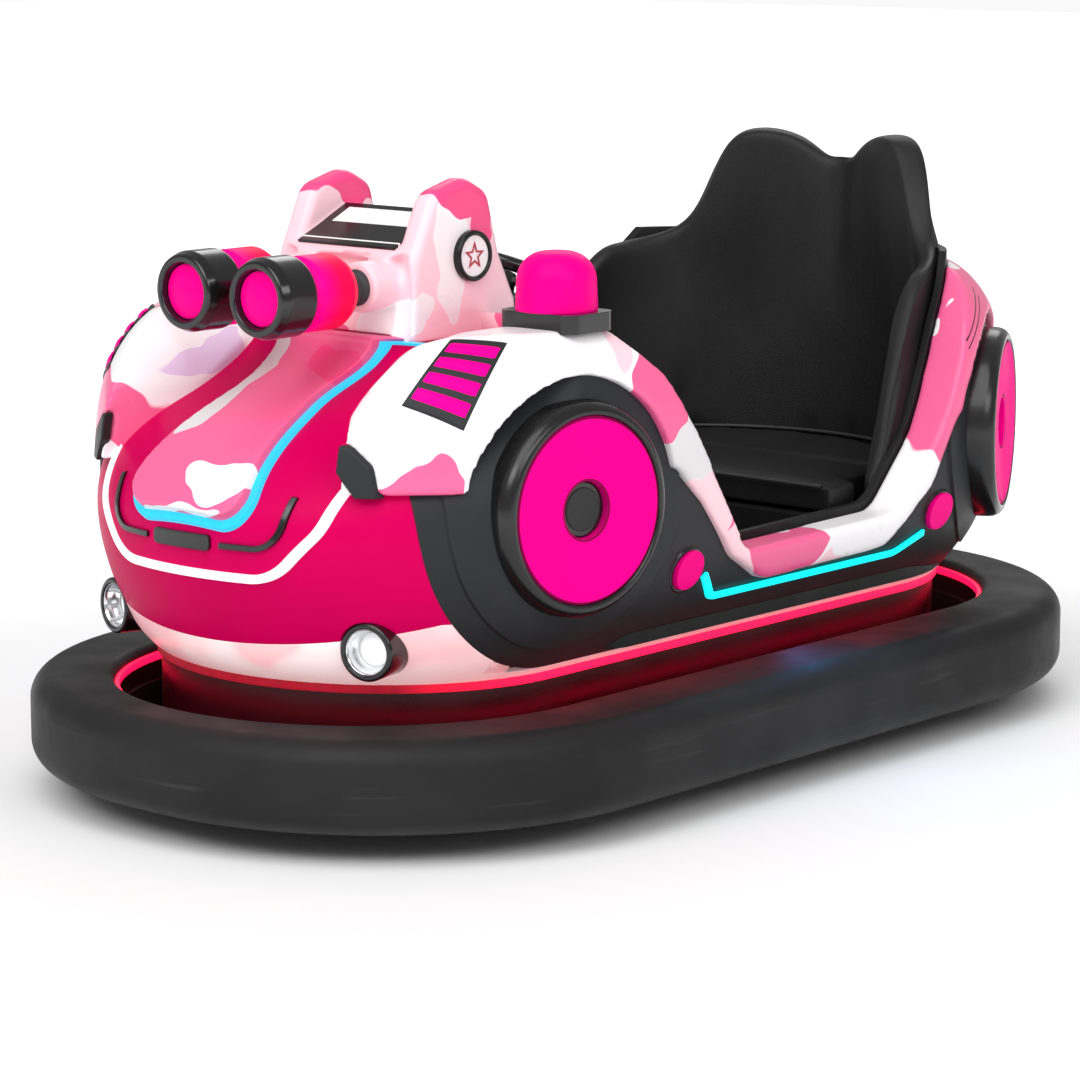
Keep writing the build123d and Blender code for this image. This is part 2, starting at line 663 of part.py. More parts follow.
with BuildPart() as slats:
    add(louvre_plug.part.moved(Location(louvre_plane.z_dir * SLAT_RISE)))
    add(slat_bars, mode=Mode.INTERSECT)
save(both_sides(slats.part), "louvre_slats")

with BuildPart() as fender_left:
    add(fender_full)
    add(louvre_plug, mode=Mode.SUBTRACT)
save(fender_left.part, "fender_left")
fender_right = mirror(fender_left.part, about=Plane.YZ)
save(fender_right, "fender_right")

with BuildPart() as sill_left:
    add(camo_hull)
    add(camo_left, mode=Mode.INTERSECT)
    add(block(SIDE_IN, FAR, FENDER_BACK, REAR_START, 0, FAR), mode=Mode.INTERSECT)
    add(front_arch, mode=Mode.SUBTRACT)
    add(opening, mode=Mode.SUBTRACT)
    add(tub_space, mode=Mode.SUBTRACT)
save(sill_left.part, "sill_left")
sill_right = mirror(sill_left.part, about=Plane.YZ)
save(sill_right, "sill_right")

with BuildPart() as rear_fender_left:
    add(camo_hull)
    add(camo_left, mode=Mode.INTERSECT)
    add(block(TAIL_SPLIT, FAR, REAR_START, FAR, 0, FAR), mode=Mode.INTERSECT)
    add(rear_arch, mode=Mode.SUBTRACT)
    add(opening, mode=Mode.SUBTRACT)
    add(tub_space, mode=Mode.SUBTRACT)
    add(rear_bed, mode=Mode.SUBTRACT)
save(rear_fender_left.part, "rear_fender_left")
rear_fender_right = mirror(rear_fender_left.part, about=Plane.YZ)
save(rear_fender_right, "rear_fender_right")

with BuildPart() as tail_deck:
    add(camo_hull)
    add(block(-TAIL_SPLIT, TAIL_SPLIT, REAR_START, FAR, CAMO_EDGE[-1][1], FAR), mode=Mode.INTERSECT)
    add(tub_space, mode=Mode.SUBTRACT)
save(tail_deck.part, "tail_deck")

# Black side panels and tail panel
with BuildPart() as panel_zone:
    add(block(SIDE_IN, FAR, WHEEL_FRONT_Y, FAR, BAND_Z, FAR))
    add(panel_nose.part)
    add(camo_left, mode=Mode.SUBTRACT)
    add(front_arch)
    add(rear_arch)
with BuildPart() as flare_zone:
    add(side_disc(WHEEL_FRONT_Y, FLARE_R, SIDE_IN, FAR))
    add(wheel_round("rear", REAR_FLARE_R, REAR_ARCH_DEPTH))
with BuildPart() as flare:
    add(shell_solid(HULL, FLARE_RISE))
    add(flare_zone.part, mode=Mode.INTERSECT)
with BuildPart() as side_panel_left:
    add(hull)
    add(flare.part)
    add(panel_zone.part, mode=Mode.INTERSECT)
    add(block(TAIL_SPLIT, FAR, -FAR, FAR, 0, FAR), mode=Mode.INTERSECT)
    add(tub_space, mode=Mode.SUBTRACT)
    add(front_bed, mode=Mode.SUBTRACT)
    add(rear_bed, mode=Mode.SUBTRACT)
save(side_panel_left.part, "side_panel_left")
side_panel_right = mirror(side_panel_left.part, about=Plane.YZ)
save(side_panel_right, "side_panel_right")

with BuildPart() as tail_panel:
    add(hull)
    add(hull_inner, mode=Mode.SUBTRACT)
    add(
        block(-TAIL_SPLIT, TAIL_SPLIT, REAR_START, FAR, BAND_Z, CAMO_EDGE[-1][1]),
        mode=Mode.INTERSECT,
    )
    add(tub_space, mode=Mode.SUBTRACT)
save(tail_panel.part, "tail_panel")

# Head lamps, each in a round hole through the nose
lamp_angle = radians(LAMP_TURN)
lamp_plane = Plane(
    origin=(LAMP_X, LAMP_Y, LAMP_Z),
    x_dir=(cos(lamp_angle), sin(lamp_angle), 0),
    z_dir=(sin(lamp_angle), -cos(lamp_angle), 0),
)
lamp_hole = both_sides(turned(lamp_plane, (
    (0, -LAMP_BACK - FIT, 0), (LAMP_R + FIT, -LAMP_BACK - FIT, 0),
    (LAMP_R + FIT, CUT_REACH, 0), (0, CUT_REACH, 0),
)))
lens_z = LAMP_PROUD - LENS_SET
lamp_bezel = turned(lamp_plane, (
    (0, -LAMP_BACK, 0), (LAMP_R, -LAMP_BACK, 0), (LAMP_R, LAMP_PROUD, 5),
    (LENS_R, LAMP_PROUD, 3), (LENS_R, lens_z - 8, 0), (0, lens_z - 8, 0),
))
save(both_sides(lamp_bezel), "lamp_bezels")
lamp_lens = turned(lamp_plane, (
    (0, lens_z - 8, 0), (LENS_R - FIT, lens_z - 8, 0), (LENS_R - FIT, lens_z - 3, 2),
    (LENS_R * 0.55, lens_z + 3, 20), (0, lens_z + 4, 0),
))
save(both_sides(lamp_lens), "lamp_lenses")

# Nose panel: the crimson front of the main shell
fenders = both_sides(fender_full.part)
tips = both_sides(fender_tip.part)
with BuildPart() as nose_panel:
    add(hull)
    add(hull_inner, mode=Mode.SUBTRACT)
    add(block(-FAR, FAR, -FAR, TUB_FRONT - FIT, 0, FAR), mode=Mode.INTERSECT)
    add(band_prism.part, mode=Mode.SUBTRACT)
    add(both_sides(panel_zone.part), mode=Mode.SUBTRACT)
    add(fenders, mode=Mode.SUBTRACT)
    add(tips, mode=Mode.SUBTRACT)
    add(lamp_hole, mode=Mode.SUBTRACT)
save(nose_panel.part.solids().sort_by(SortBy.VOLUME)[-1], "nose_panel")
with BuildPart() as lower_band:
    add(hull)
    add(hull_inner, mode=Mode.SUBTRACT)
    add(band_prism.part, mode=Mode.INTERSECT)
    add(nose_cut, mode=Mode.SUBTRACT)
    add(lamp_hole, mode=Mode.SUBTRACT)
save(lower_band.part, "lower_band")

# Hood tongue with its light strip, nose strip, slits and blank plate
strip_skin = shell_solid(HULL, STRIP_RISE)
hood_lean = radians(HOOD_LEAN)
hood_plane = Plane(
    origin=(0, NOSE_TIP, HOOD_Z), x_dir=(1, 0, 0), z_dir=(0, -sin(hood_lean), cos(hood_lean)),
)
front_plane = Plane.XZ.offset(-TUB_FRONT)
tongue_trace = u_prism(hood_plane, TONGUE, LED_W, FAR, HOOD_REACH)
with BuildPart() as hood_light:
    add(raised_skin(LED_RISE))
    add(tongue_trace, mode=Mode.INTERSECT)
    add(hull, mode=Mode.SUBTRACT)
    add(fenders, mode=Mode.SUBTRACT)
save(hood_light.part, "hood_light")
with BuildPart() as hood:
    add(raised_skin(TONGUE_RISE))
    add(u_prism(hood_plane, TONGUE, 0, FAR, HOOD_REACH), mode=Mode.INTERSECT)
    add(tongue_trace, mode=Mode.SUBTRACT)
    add(hull, mode=Mode.SUBTRACT)
    add(fenders, mode=Mode.SUBTRACT)
save(hood.part, "hood")
with BuildPart() as nose_light:
    add(strip_skin)
    add(u_prism(front_plane, NOSE_LED, NOSE_LED_W, FAR, 0), mode=Mode.INTERSECT)
    add(hull, mode=Mode.SUBTRACT)
    add(fenders, mode=Mode.SUBTRACT)
    add(tips, mode=Mode.SUBTRACT)
save(nose_light.part, "nose_light")
with BuildPart() as slit_prism:
    with BuildSketch(Plane.XZ.offset(-TUB_FRONT)):
        with BuildLine():
            rounded_path(SLIT)
        trace(line_width=SLIT_W)
    extrude(amount=FAR)
with BuildPart() as nose_slits:
    add(strip_skin)
    add(both_sides(slit_prism.part), mode=Mode.INTERSECT)
    add(hull, mode=Mode.SUBTRACT)
save(nose_slits.part, "nose_slits")
with BuildPart() as nose_plate:
    with BuildSketch(Plane.XZ.offset(-TUB_FRONT)):
        with Locations((0, PLATE_Z)):
            RectangleRounded(PLATE_W, PLATE_H, 8)
    extrude(amount=FAR)
    add(strip_skin, mode=Mode.INTERSECT)
    add(hull, mode=Mode.SUBTRACT)
save(nose_plate.part, "nose_plate")

# Cockpit tub with foot well and seat base
with BuildPart() as tub:
    add(tub_prism(0, TUB_FLOOR, SEAT_TOP[-1][1] + 30))
    with BuildSketch(Plane.XY.offset(TUB_FLOOR + TUB_WALL)):
        with BuildLine():
            tub_outline(-TUB_WALL)
        make_face()
    extrude(amount=FAR, mode=Mode.SUBTRACT)
    with BuildSketch(Plane.XY.offset(TUB_FLOOR)):
        with BuildLine():
            tub_outline(-TUB_WALL / 2)
        make_face()
        with Locations((0, SEAT_FRONT - FAR / 2)):
            Rectangle(FAR, FAR, mode=Mode.SUBTRACT)
    extrude(amount=SEAT_BASE_Z - TUB_FLOOR)
    with BuildSketch(Plane.XY.offset(TUB_FLOOR)):
        with BuildLine():
            tub_outline(-2 * TUB_WALL)
        make_face()
        with Locations((0, SEAT_FRONT + TUB_WALL - FAR / 2)):
            Rectangle(FAR, FAR, mode=Mode.SUBTRACT)
    extrude(amount=SEAT_BASE_Z - TUB_FLOOR - TUB_WALL, mode=Mode.SUBTRACT)
    add(opening.moved(Location((0, 0, TUB_LIP))), mode=Mode.SUBTRACT)
save(tub.part, "tub")

seat_gap = TUB_WALL + FIT
rear_edge = [(y + SEAT_BACK_IN, z) for y, z, r in OPENING[4:]]
with BuildPart() as seat_zone:
    with BuildSketch(Plane.YZ.offset(-FAR)):
        with BuildLine():
            Polyline(
                (rear_edge[0][0], 0), *rear_edge, (rear_edge[-1][0], FAR),
                (FAR, FAR), (FAR, 0), close=True,
            )
        make_face()
    extrude(amount=2 * FAR)
seat_corner = SEAT_TOP[-1]
with BuildPart() as seat_front_view:
    with BuildSketch(Plane.XZ.offset(FAR)):
        with BuildLine():
            rounded_path([(0, SEAT_DIP, 0), *SEAT_TOP])
            Polyline(
                seat_corner[:2], (seat_corner[0], SEAT_BASE_Z + FIT), (0, SEAT_BASE_Z + FIT),
                (0, SEAT_DIP),
            )
        make_face()
        mirror(about=Plane.YZ)
    extrude(amount=-2 * FAR)
with BuildPart() as seat_back:
    with BuildSketch(Plane.XY.offset(SEAT_BASE_Z)):
        for gap, keep in ((seat_gap, Mode.ADD), (seat_gap + BACK_T, Mode.SUBTRACT)):
            with BuildLine():
                tub_outline(-gap)
            make_face(mode=keep)
    extrude(amount=FAR)
    add(seat_front_view.part, mode=Mode.INTERSECT)
    add(seat_zone.part, mode=Mode.INTERSECT)
save(seat_back.part, "seat_back")
with BuildPart() as seat_cushion:
    with BuildSketch(Plane.XY.offset(SEAT_BASE_Z + FIT)):
        with BuildLine():
            tub_outline(-seat_gap - BACK_T - FIT)
        make_face()
        with Locations((0, SEAT_FRONT - FAR / 2)):
            Rectangle(FAR, FAR, mode=Mode.SUBTRACT)
    extrude(amount=CUSHION_T)
save(seat_cushion.part, "seat_cushion")

# Dashboard with the steering column's jacket
lean = radians(COLUMN_LEAN)
helm_plane = Plane(origin=HELM, x_dir=(1, 0, 0), z_dir=(0, sin(lean), cos(lean)))
with BuildPart() as dash:
    with BuildSketch(Plane.YZ.offset(-DASH_HALF_W)):
        with BuildLine():
            Polyline(*DASH, close=True)
        make_face()
    extrude(amount=2 * DASH_HALF_W)
    with BuildSketch(helm_plane.offset(-JACKET_FROM)):
        Circle(JACKET_R)
    extrude(amount=JACKET_FROM - JACKET_TO)
    with BuildSketch(helm_plane):
        Circle(SHAFT_R + RUN)
    extrude(amount=-COLUMN_LEN - CLEAR, mode=Mode.SUBTRACT)
save(dash.part, "dash")

with BuildPart() as steering_wheel:
    with BuildSketch(Plane(origin=HELM, x_dir=(1, 0, 0), z_dir=(0, cos(lean), -sin(lean)))):
        with Locations((HELM_R, 0)):
            Circle(HELM_TUBE)
    revolve(axis=Axis(HELM, helm_plane.z_dir))
    with BuildSketch(helm_plane.offset(-SPOKE_T / 2)):
        with PolarLocations(HELM_R / 2, 3, start_angle=-90):
            Rectangle(HELM_R, SPOKE_W)
    extrude(amount=SPOKE_T)
    with BuildSketch(helm_plane.offset(-HELM_HUB_DROP)):
        Circle(HELM_HUB_R)
    extrude(amount=HELM_HUB_H, taper=8)
    with BuildSketch(helm_plane):
        Circle(SHAFT_R)
    extrude(amount=-COLUMN_LEN)
save(steering_wheel.part, "steering_wheel")

px, py, pw, pl, pt = PEDAL
with BuildPart() as pedal:
    with BuildSketch(Plane.YZ.offset(px - pw / 2)):
        with BuildLine():
            floor = TUB_FLOOR + TUB_WALL + FIT
            Polyline(
                (py - pl / 2, floor), (py + pl / 2, floor), (py + pl / 2, floor + pt),
                (py - pl / 2, floor + 4 * pt), close=True,
            )
        make_face()
    extrude(amount=pw)
save(pedal.part, "pedal")

# Turret
with BuildPart() as ears:
    for x in (-TURRET_HALF_W, TURRET_HALF_W - EAR_T):
        with BuildSketch(Plane.YZ.offset(x)):
            with BuildLine():
                FilletPolyline(
                    *[p[:2] for p in EAR_SIDE], radius=[p[2] for p in EAR_SIDE], close=True,
                )
            make_face()
        extrude(amount=EAR_T)
    for x in (-TURRET_HALF_W, -TURRET_HALF_W + EAR_T, TURRET_HALF_W - EAR_T, TURRET_HALF_W):
        rim = edges().filter_by_position(Axis.X, x, x)
        fillet(rim.filter_by_position(Axis.Z, TURRET_BASE_Z + 5, FAR), EAR_ROUND)
cannon_plane = Plane(origin=(CANNON_X, TURRET_SIDE[0][0], CANNON_Z), x_dir=(1, 0, 0), z_dir=(0, -1, 0))
socket_tube = turned(cannon_plane, (
    (0, -EAR_T, 0), (SOCKET_TUBE_R, -EAR_T, 0), (SOCKET_TUBE_R, SOCKET_TUBE_LEN, 6),
    (0, SOCKET_TUBE_LEN, 0),
))
with BuildPart() as turret:
    with BuildSketch(Plane.YZ.offset(-TURRET_HALF_W + EAR_ROUND)):
        with BuildLine():
            FilletPolyline(
                *[p[:2] for p in TURRET_SIDE], radius=[p[2] for p in TURRET_SIDE], close=True,
            )
        make_face()
    extrude(amount=2 * (TURRET_HALF_W - EAR_ROUND))
    add(ears.part)
    add(both_sides(socket_tube))
    for piece in (hull, hood.part, hood_light.part, fenders, tub.part, dash.part):
        add(piece, mode=Mode.SUBTRACT)
save(turret.part.solids().sort_by(SortBy.VOLUME)[-1], "turret")

slope_y = TURRET_SIDE[3][0] - TURRET_SIDE[2][0]
slope_z = TURRET_SIDE[3][1] - TURRET_SIDE[2][1]
slope = atan2(slope_z, slope_y)
slope_len = hypot(slope_y, slope_z)
screen_plane = Plane(
    origin=(0, *TURRET_SIDE[2][:2]), x_dir=(1, 0, 0), z_dir=(0, -sin(slope), cos(slope)),
)
with BuildPart() as visor_screen:
    with BuildSketch(screen_plane):
        with Locations((0, slope_len / 2)):
            Rectangle(SCREEN_W, slope_len)
    extrude(amount=SCREEN_T)
save(visor_screen.part, "visor_screen")

star_plane = Plane(origin=(TURRET_HALF_W, STAR_Y, STAR_Z), x_dir=(0, 1, 0), z_dir=(1, 0, 0))
star_disc = turned(star_plane, (
    (0, 0, 0), (STAR_R, 0, 0), (STAR_R, 12, 4), (STAR_R - 7, 12, 2), (STAR_R - 8, 8, 0), (0, 8, 0),
))
save(both_sides(star_disc), "star_discs")

# Cannons
muzzle_plane = Plane(origin=(CANNON_X, MUZZLE_Y, CANNON_Z), x_dir=(1, 0, 0), z_dir=(0, 1, 0))
collar_end = MUZZLE_LEN + COLLAR_LEN
muzzle = turned(muzzle_plane, (
    (0, 14, 0), (FACE_R, 14, 0), (FACE_R + 3, 0, 3), (MUZZLE_R - 6, 0, 5), (MUZZLE_R, 16, 12),
    (MUZZLE_R, MUZZLE_LEN - 10, 6), (MUZZLE_R - 8, MUZZLE_LEN, 4), (0, MUZZLE_LEN, 0),
))
save(both_sides(muzzle), "cannon_muzzles")
face_disc = turned(muzzle_plane, (
    (0, 3, 0), (FACE_R * 0.6, 6, 20), (FACE_R - 1, 11, 0), (FACE_R - 1, 14, 0), (0, 14, 0),
))
save(both_sides(face_disc), "cannon_lenses")
collar = turned(muzzle_plane, (
    (0, MUZZLE_LEN, 0), (COLLAR_R - 8, MUZZLE_LEN, 3), (COLLAR_R, MUZZLE_LEN + 14, 12),
    (COLLAR_R, collar_end - 18, 12), (COLLAR_R - 10, collar_end, 6), (0, collar_end, 0),
))
save(both_sides(collar), "cannon_collars")
barrel_end = TURRET_SIDE[0][0] - SOCKET_TUBE_LEN - MUZZLE_Y
barrel = turned(muzzle_plane, (
    (0, collar_end, 0), (BARREL_R, collar_end, 0), (BARREL_R, barrel_end, 0), (0, barrel_end, 0),
))
save(both_sides(barrel), "cannon_barrels")

# Beacon on the left fender
base_w, base_l = BEACON_BASE
with BuildPart() as beacon_base:
    with BuildSketch(Plane.XY.offset(BEACON_SEAT - BEACON_BASE_T)):
        with Locations((BEACON_X, BEACON_Y)):
            RectangleRounded(base_w, base_l, BEACON_CORNER)
    extrude(amount=BEACON_BASE_T)
    add(fender_left.part, mode=Mode.SUBTRACT)
save(beacon_base.part, "beacon_base")
beacon_plane = Plane(origin=(BEACON_X, BEACON_Y, BEACON_SEAT))
beacon = turned(beacon_plane, (
    (0, 0, 0), (BEACON_R, 0, 0), (BEACON_R - 4, BEACON_H, 46), (0, BEACON_H, 0),
))
save(beacon, "beacon_dome")

# Side lamps and sill lights
with BuildPart() as side_lamp:
    with BuildSketch(Plane.YZ.offset(SIDE_IN)):
        with Locations(*SIDE_LAMPS):
            Circle(SIDE_LAMP_R)
    extrude(amount=FAR)
    add(shell_solid(HULL, SIDE_LAMP_RISE), mode=Mode.INTERSECT)
    add(hull, mode=Mode.SUBTRACT)
save(both_sides(side_lamp.part), "side_lamps")
with BuildPart() as sill_light:
    with BuildSketch(Plane.YZ.offset(SIDE_IN)):
        with BuildLine():
            rounded_path(SILL_LED)
        trace(line_width=SILL_LED_W)
    extrude(amount=FAR)
    add(strip_skin, mode=Mode.INTERSECT)
    add(hull, mode=Mode.SUBTRACT)
    add(sill_left.part, mode=Mode.SUBTRACT)
    add(side_lamp.part, mode=Mode.SUBTRACT)
save(both_sides(sill_light.part), "sill_lights")

# Dummy wheels
tyres, discs, hubs = [], [], []
for where in DUMMY_WHEELS:
    plane = wheel_plane(where, 1)
    tyres.append(turned(plane, (
        (DISC_R, -TYRE_BED, 0), (TYRE_R, -TYRE_BED, 0), (TYRE_R, TYRE_PROUD, 12),
        (DISC_R, TYRE_PROUD - 4, 6),
    )))
    discs.append(turned(plane, (
        (HUB_R + FIT, -TYRE_BED, 0), (DISC_R - FIT, -TYRE_BED, 0), (DISC_R - FIT, DISC_DISH, 4),
        (HUB_R + FIT, DISC_SET, 2),
    )))
    hubs.append(turned(plane, (
        (0, -TYRE_BED, 0), (HUB_R, -TYRE_BED, 0), (HUB_R, HUB_FACE, 4), (0, HUB_FACE, 0),
    )))
for solids, name in ((tyres, "wheel_tyres"), (discs, "wheel_discs"), (hubs, "wheel_hubs")):
    with BuildPart() as pair:
        add(solids)
    save(both_sides(pair.part), name)

save(tips, "fender_tips")

# Light strip under the shell's edge, outside the base collar
with BuildPart() as underglow:
    with BuildSketch(Plane.XY.offset(SHELL_BOTTOM - GLOW_H)):
        for gap, keep in ((COLLAR_INSET - LIGHT_T, Mode.ADD), (COLLAR_INSET, Mode.SUBTRACT)):
            with BuildLine():
                shell_outline(*[v + gap for v in HULL[0][1:]])
            make_face(mode=keep)
    extrude(amount=GLOW_H)
save(underglow.part, "underglow")

# Charging socket in the tail
socket_plane = Plane.XZ.offset(-TAIL_TIP - SOCKET_PROUD)
with BuildPart() as charge_socket:
    with BuildSketch(socket_plane):
        with Locations((0, SOCKET_Z)):
            Circle(SOCKET_R)
    extrude(amount=SOCKET_PROUD + SHELL_WALL)
    add(hull, mode=Mode.SUBTRACT)
    with BuildSketch(socket_plane):
        with Locations((0, SOCKET_Z)):
            Circle(SOCKET_BORE)
    extrude(amount=SOCKET_DEPTH, mode=Mode.SUBTRACT)
save(charge_socket.part, "charge_socket")

# Drive unit under the nose
drive_axis = Plane(origin=(0, DRIVE_Y, 0))
crown_z = CROWN_TOP - CROWN_T
blade_x = DRIVE_W / 2 + CLEAR
with BuildPart() as drive_fork:
    add(turned(drive_axis, (
        (0, crown_z, 0), (CROWN_R, crown_z, 0), (CROWN_R, CROWN_TOP, 2), (0, CROWN_TOP, 0),
    )))
    with BuildSketch(Plane.XY.offset(CROWN_TOP)):
        with Locations((0, DRIVE_Y)):
            Circle(KING_R)
    extrude(amount=BRIDGE_Z + BRIDGE_T + CLEAR - CROWN_TOP)
    with BuildSketch(Plane.XY.offset(BRIDGE_Z + BRIDGE_T + CLEAR)):
        with Locations((0, DRIVE_Y)):
            Circle(2 * KING_R)
    extrude(amount=9)
    for x in (-blade_x - FORK_T, blade_x):
        with BuildSketch(Plane.YZ.offset(x)):
            with Locations((DRIVE_Y, DRIVE_R)):
                Circle(BLADE_W / 2)
            with Locations((DRIVE_Y, (DRIVE_R + crown_z) / 2)):
                Rectangle(BLADE_W, crown_z - DRIVE_R)
        extrude(amount=FORK_T)
    with BuildSketch(Plane.YZ.offset(-blade_x)):
        with Locations((DRIVE_Y, DRIVE_R)):
            Circle(AXLE_R)
    extrude(amount=2 * blade_x)
save(drive_fork.part, "drive_fork")


def road_wheel(x, y, radius, width):
    """Wheel with a rounded tread, its axle along X."""
    plane = Plane(origin=(x, y, radius), x_dir=(0, 1, 0), z_dir=(1, 0, 0))
    half = width / 2
    return turned(plane, (
        (AXLE_R + RUN, -half - 2, 0), (AXLE_R + 12, -half - 2, 0), (AXLE_R + 12, -half + 8, 2),
        (radius - 24, -half + 8, 4), (radius - 20, -half, 3), (radius, -half, 10),
        (radius, half, 10), (radius - 20, half, 3), (radius - 24, half - 8, 4),
        (AXLE_R + 12, half - 8, 2), (AXLE_R + 12, half + 2, 0), (AXLE_R + RUN, half + 2, 0),
    ))


save(road_wheel(0, DRIVE_Y, DRIVE_R, DRIVE_W), "drive_wheel")
save(road_wheel(REAR_X, REAR_Y, REAR_R, REAR_W), "rear_wheel_left")
save(road_wheel(-REAR_X, REAR_Y, REAR_R, REAR_W), "rear_wheel_right")

bat_w, bat_l, bat_h = BATTERY
with BuildPart() as battery:
    with BuildSketch(Plane.XY.offset(PLATE_TOP)):
        RectangleRounded(bat_w, bat_l, 12)
    extrude(amount=bat_h)
save(battery.part, "battery")
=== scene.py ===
# %% [markdown]
# A battery bumper car in pink camouflage.
#
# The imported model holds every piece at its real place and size, and this lesson dresses it.
# Hard pieces keep their shape and get a finish. The moulded body and the soft pieces are
# modelled again, because a body cut from blocks has knife edges and a seat cut from blocks
# never looks padded. All lengths are in metres, -Y is the nose, +X is the car's own left side
# and +Z is up.

# %% The frame
from math import copysign, cos, exp, pi, radians, sin

import bmesh
import bpy
from mathutils import Matrix, Vector
from mathutils.bvhtree import BVHTree


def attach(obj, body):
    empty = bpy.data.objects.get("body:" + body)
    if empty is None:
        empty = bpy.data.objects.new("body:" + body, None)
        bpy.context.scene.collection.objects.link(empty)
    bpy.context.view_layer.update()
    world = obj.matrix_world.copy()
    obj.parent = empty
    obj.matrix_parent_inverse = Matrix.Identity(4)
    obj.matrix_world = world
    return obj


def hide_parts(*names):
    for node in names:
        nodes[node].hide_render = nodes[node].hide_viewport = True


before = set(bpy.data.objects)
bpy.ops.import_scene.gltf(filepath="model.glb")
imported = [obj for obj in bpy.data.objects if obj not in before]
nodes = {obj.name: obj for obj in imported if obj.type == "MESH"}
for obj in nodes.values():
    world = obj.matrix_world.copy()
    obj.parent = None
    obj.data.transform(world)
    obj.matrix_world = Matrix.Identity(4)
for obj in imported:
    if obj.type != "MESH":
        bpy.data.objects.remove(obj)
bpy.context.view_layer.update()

# %% [markdown]
# The camera. A long lens from the front left corner keeps the lines of the shell nearly
# parallel. The eye stands a little above the crest of the fenders, as a person does who looks
# at the car from across the arena.

# %% Camera
EYE = Vector((4.084, -4.784, 1.475))
LOOK_AT = Vector((0.353, -0.495, 0.45))
LENS_MM = 122.5

camera_data = bpy.data.cameras.new("camera")
camera_data.lens = LENS_MM
camera_data.sensor_width = 36.0
camera = bpy.data.objects.new("camera", camera_data)
camera.location = EYE
camera.rotation_mode = "QUATERNION"
camera.rotation_quaternion = (LOOK_AT - EYE).to_track_quat("-Z", "Y")
bpy.context.scene.collection.objects.link(camera)
bpy.context.scene.camera = camera
print("distance to the car:", round((LOOK_AT - EYE).length, 2), "m")

# %% [markdown]
# The studio. White paper lies under the car and stands behind it. What lights the car is dimmer
# than the paper looks, or black rubber would mirror white paper all round and turn grey. A wide
# sun gives the same brightness everywhere on the floor, so that no lamp leaves a bright spot.
# Three panels are there for the long highlight that each leaves on glossy plastic. A blue lamp
# under each cyan strip gives the light that the strip throws on the ring.

# %% Studio
FLOOR_SIZE = 60.0
PAPER = 0.95
AMBIENT = 0.42
SUN_FROM = Vector((1.2, -2.6, 4.2))
SUN_WATTS = 1.75
SUN_WIDTH = radians(55)
# name, place, watts, width, height
PANELS = (
    ("left_panel", (5.0, -1.5, 3.2), 70.0, 3.5, 1.6),
    ("nose_panel_light", (0.5, -5.5, 3.6), 60.0, 3.0, 1.6),
    ("back_panel", (-2.5, 4.5, 4.0), 60.0, 4.0, 2.0),
)

world = bpy.data.worlds.new("studio")
world.use_nodes = True
sky = world.node_tree
ambient, paper = sky.nodes["Background"], sky.nodes.new("ShaderNodeBackground")
for background, strength in ((ambient, AMBIENT), (paper, PAPER)):
    background.inputs["Color"].default_value = (1.0, 1.0, 1.0, 1.0)
    background.inputs["Strength"].default_value = strength
rays = sky.nodes.new("ShaderNodeLightPath")
blend = sky.nodes.new("ShaderNodeMixShader")
sky.links.new(rays.outputs["Is Camera Ray"], blend.inputs[0])
sky.links.new(ambient.outputs[0], blend.inputs[1])
sky.links.new(paper.outputs[0], blend.inputs[2])
sky.links.new(blend.outputs[0], sky.nodes["World Output"].inputs["Surface"])
bpy.context.scene.world = world
bpy.context.scene.view_settings.view_transform = "Standard"


def hang(lamp_data, place, aim=(0, 0, 0.4)):
    """Hangs a lamp at a place and turns it to the car."""
    lamp = bpy.data.objects.new(lamp_data.name, lamp_data)
    lamp.location = place
    lamp.rotation_mode = "QUATERNION"
    lamp.rotation_quaternion = (Vector(aim) - lamp.location).to_track_quat("-Z", "Y")
    bpy.context.scene.collection.objects.link(lamp)


def area_lamp(name, watts, width, height, colour=(1.0, 1.0, 1.0)):
    lamp = bpy.data.lights.new(name, "AREA")
    lamp.shape = "RECTANGLE"
    lamp.size, lamp.size_y = width, height
    lamp.energy, lamp.color = watts, colour
    return lamp


sun = bpy.data.lights.new("sun", "SUN")
sun.energy = SUN_WATTS
sun.angle = SUN_WIDTH
hang(sun, SUN_FROM)
for name, place, watts, width, height in PANELS:
    hang(area_lamp(name, watts, width, height), place)

GLOW_FROM, GLOW_TO = (0.478, 0.12, 0.30), (0.56, 0.12, 0.15)
GLOW_WIDTH, GLOW_LENGTH, GLOW_WATTS = 0.07, 0.62, 0.4
GLOW_BLUE = (0.02, 0.35, 1.0)
for side in (1, -1):
    mirror = Vector((side, 1, 1))
    glow = area_lamp("sill_glow", GLOW_WATTS, GLOW_WIDTH, GLOW_LENGTH, GLOW_BLUE)
    hang(glow, Vector(GLOW_FROM) * mirror, Vector(GLOW_TO) * mirror)
print("lamps:", len(PANELS) + 3)

# %% [markdown]
# Every finish below is a tree of shader nodes. A small helper keeps each recipe short: it makes
# the material, reaches the surface by its place in the car, and links one node to the next.
# Its bevel node bends the light at sharp edges as if they were rounded.

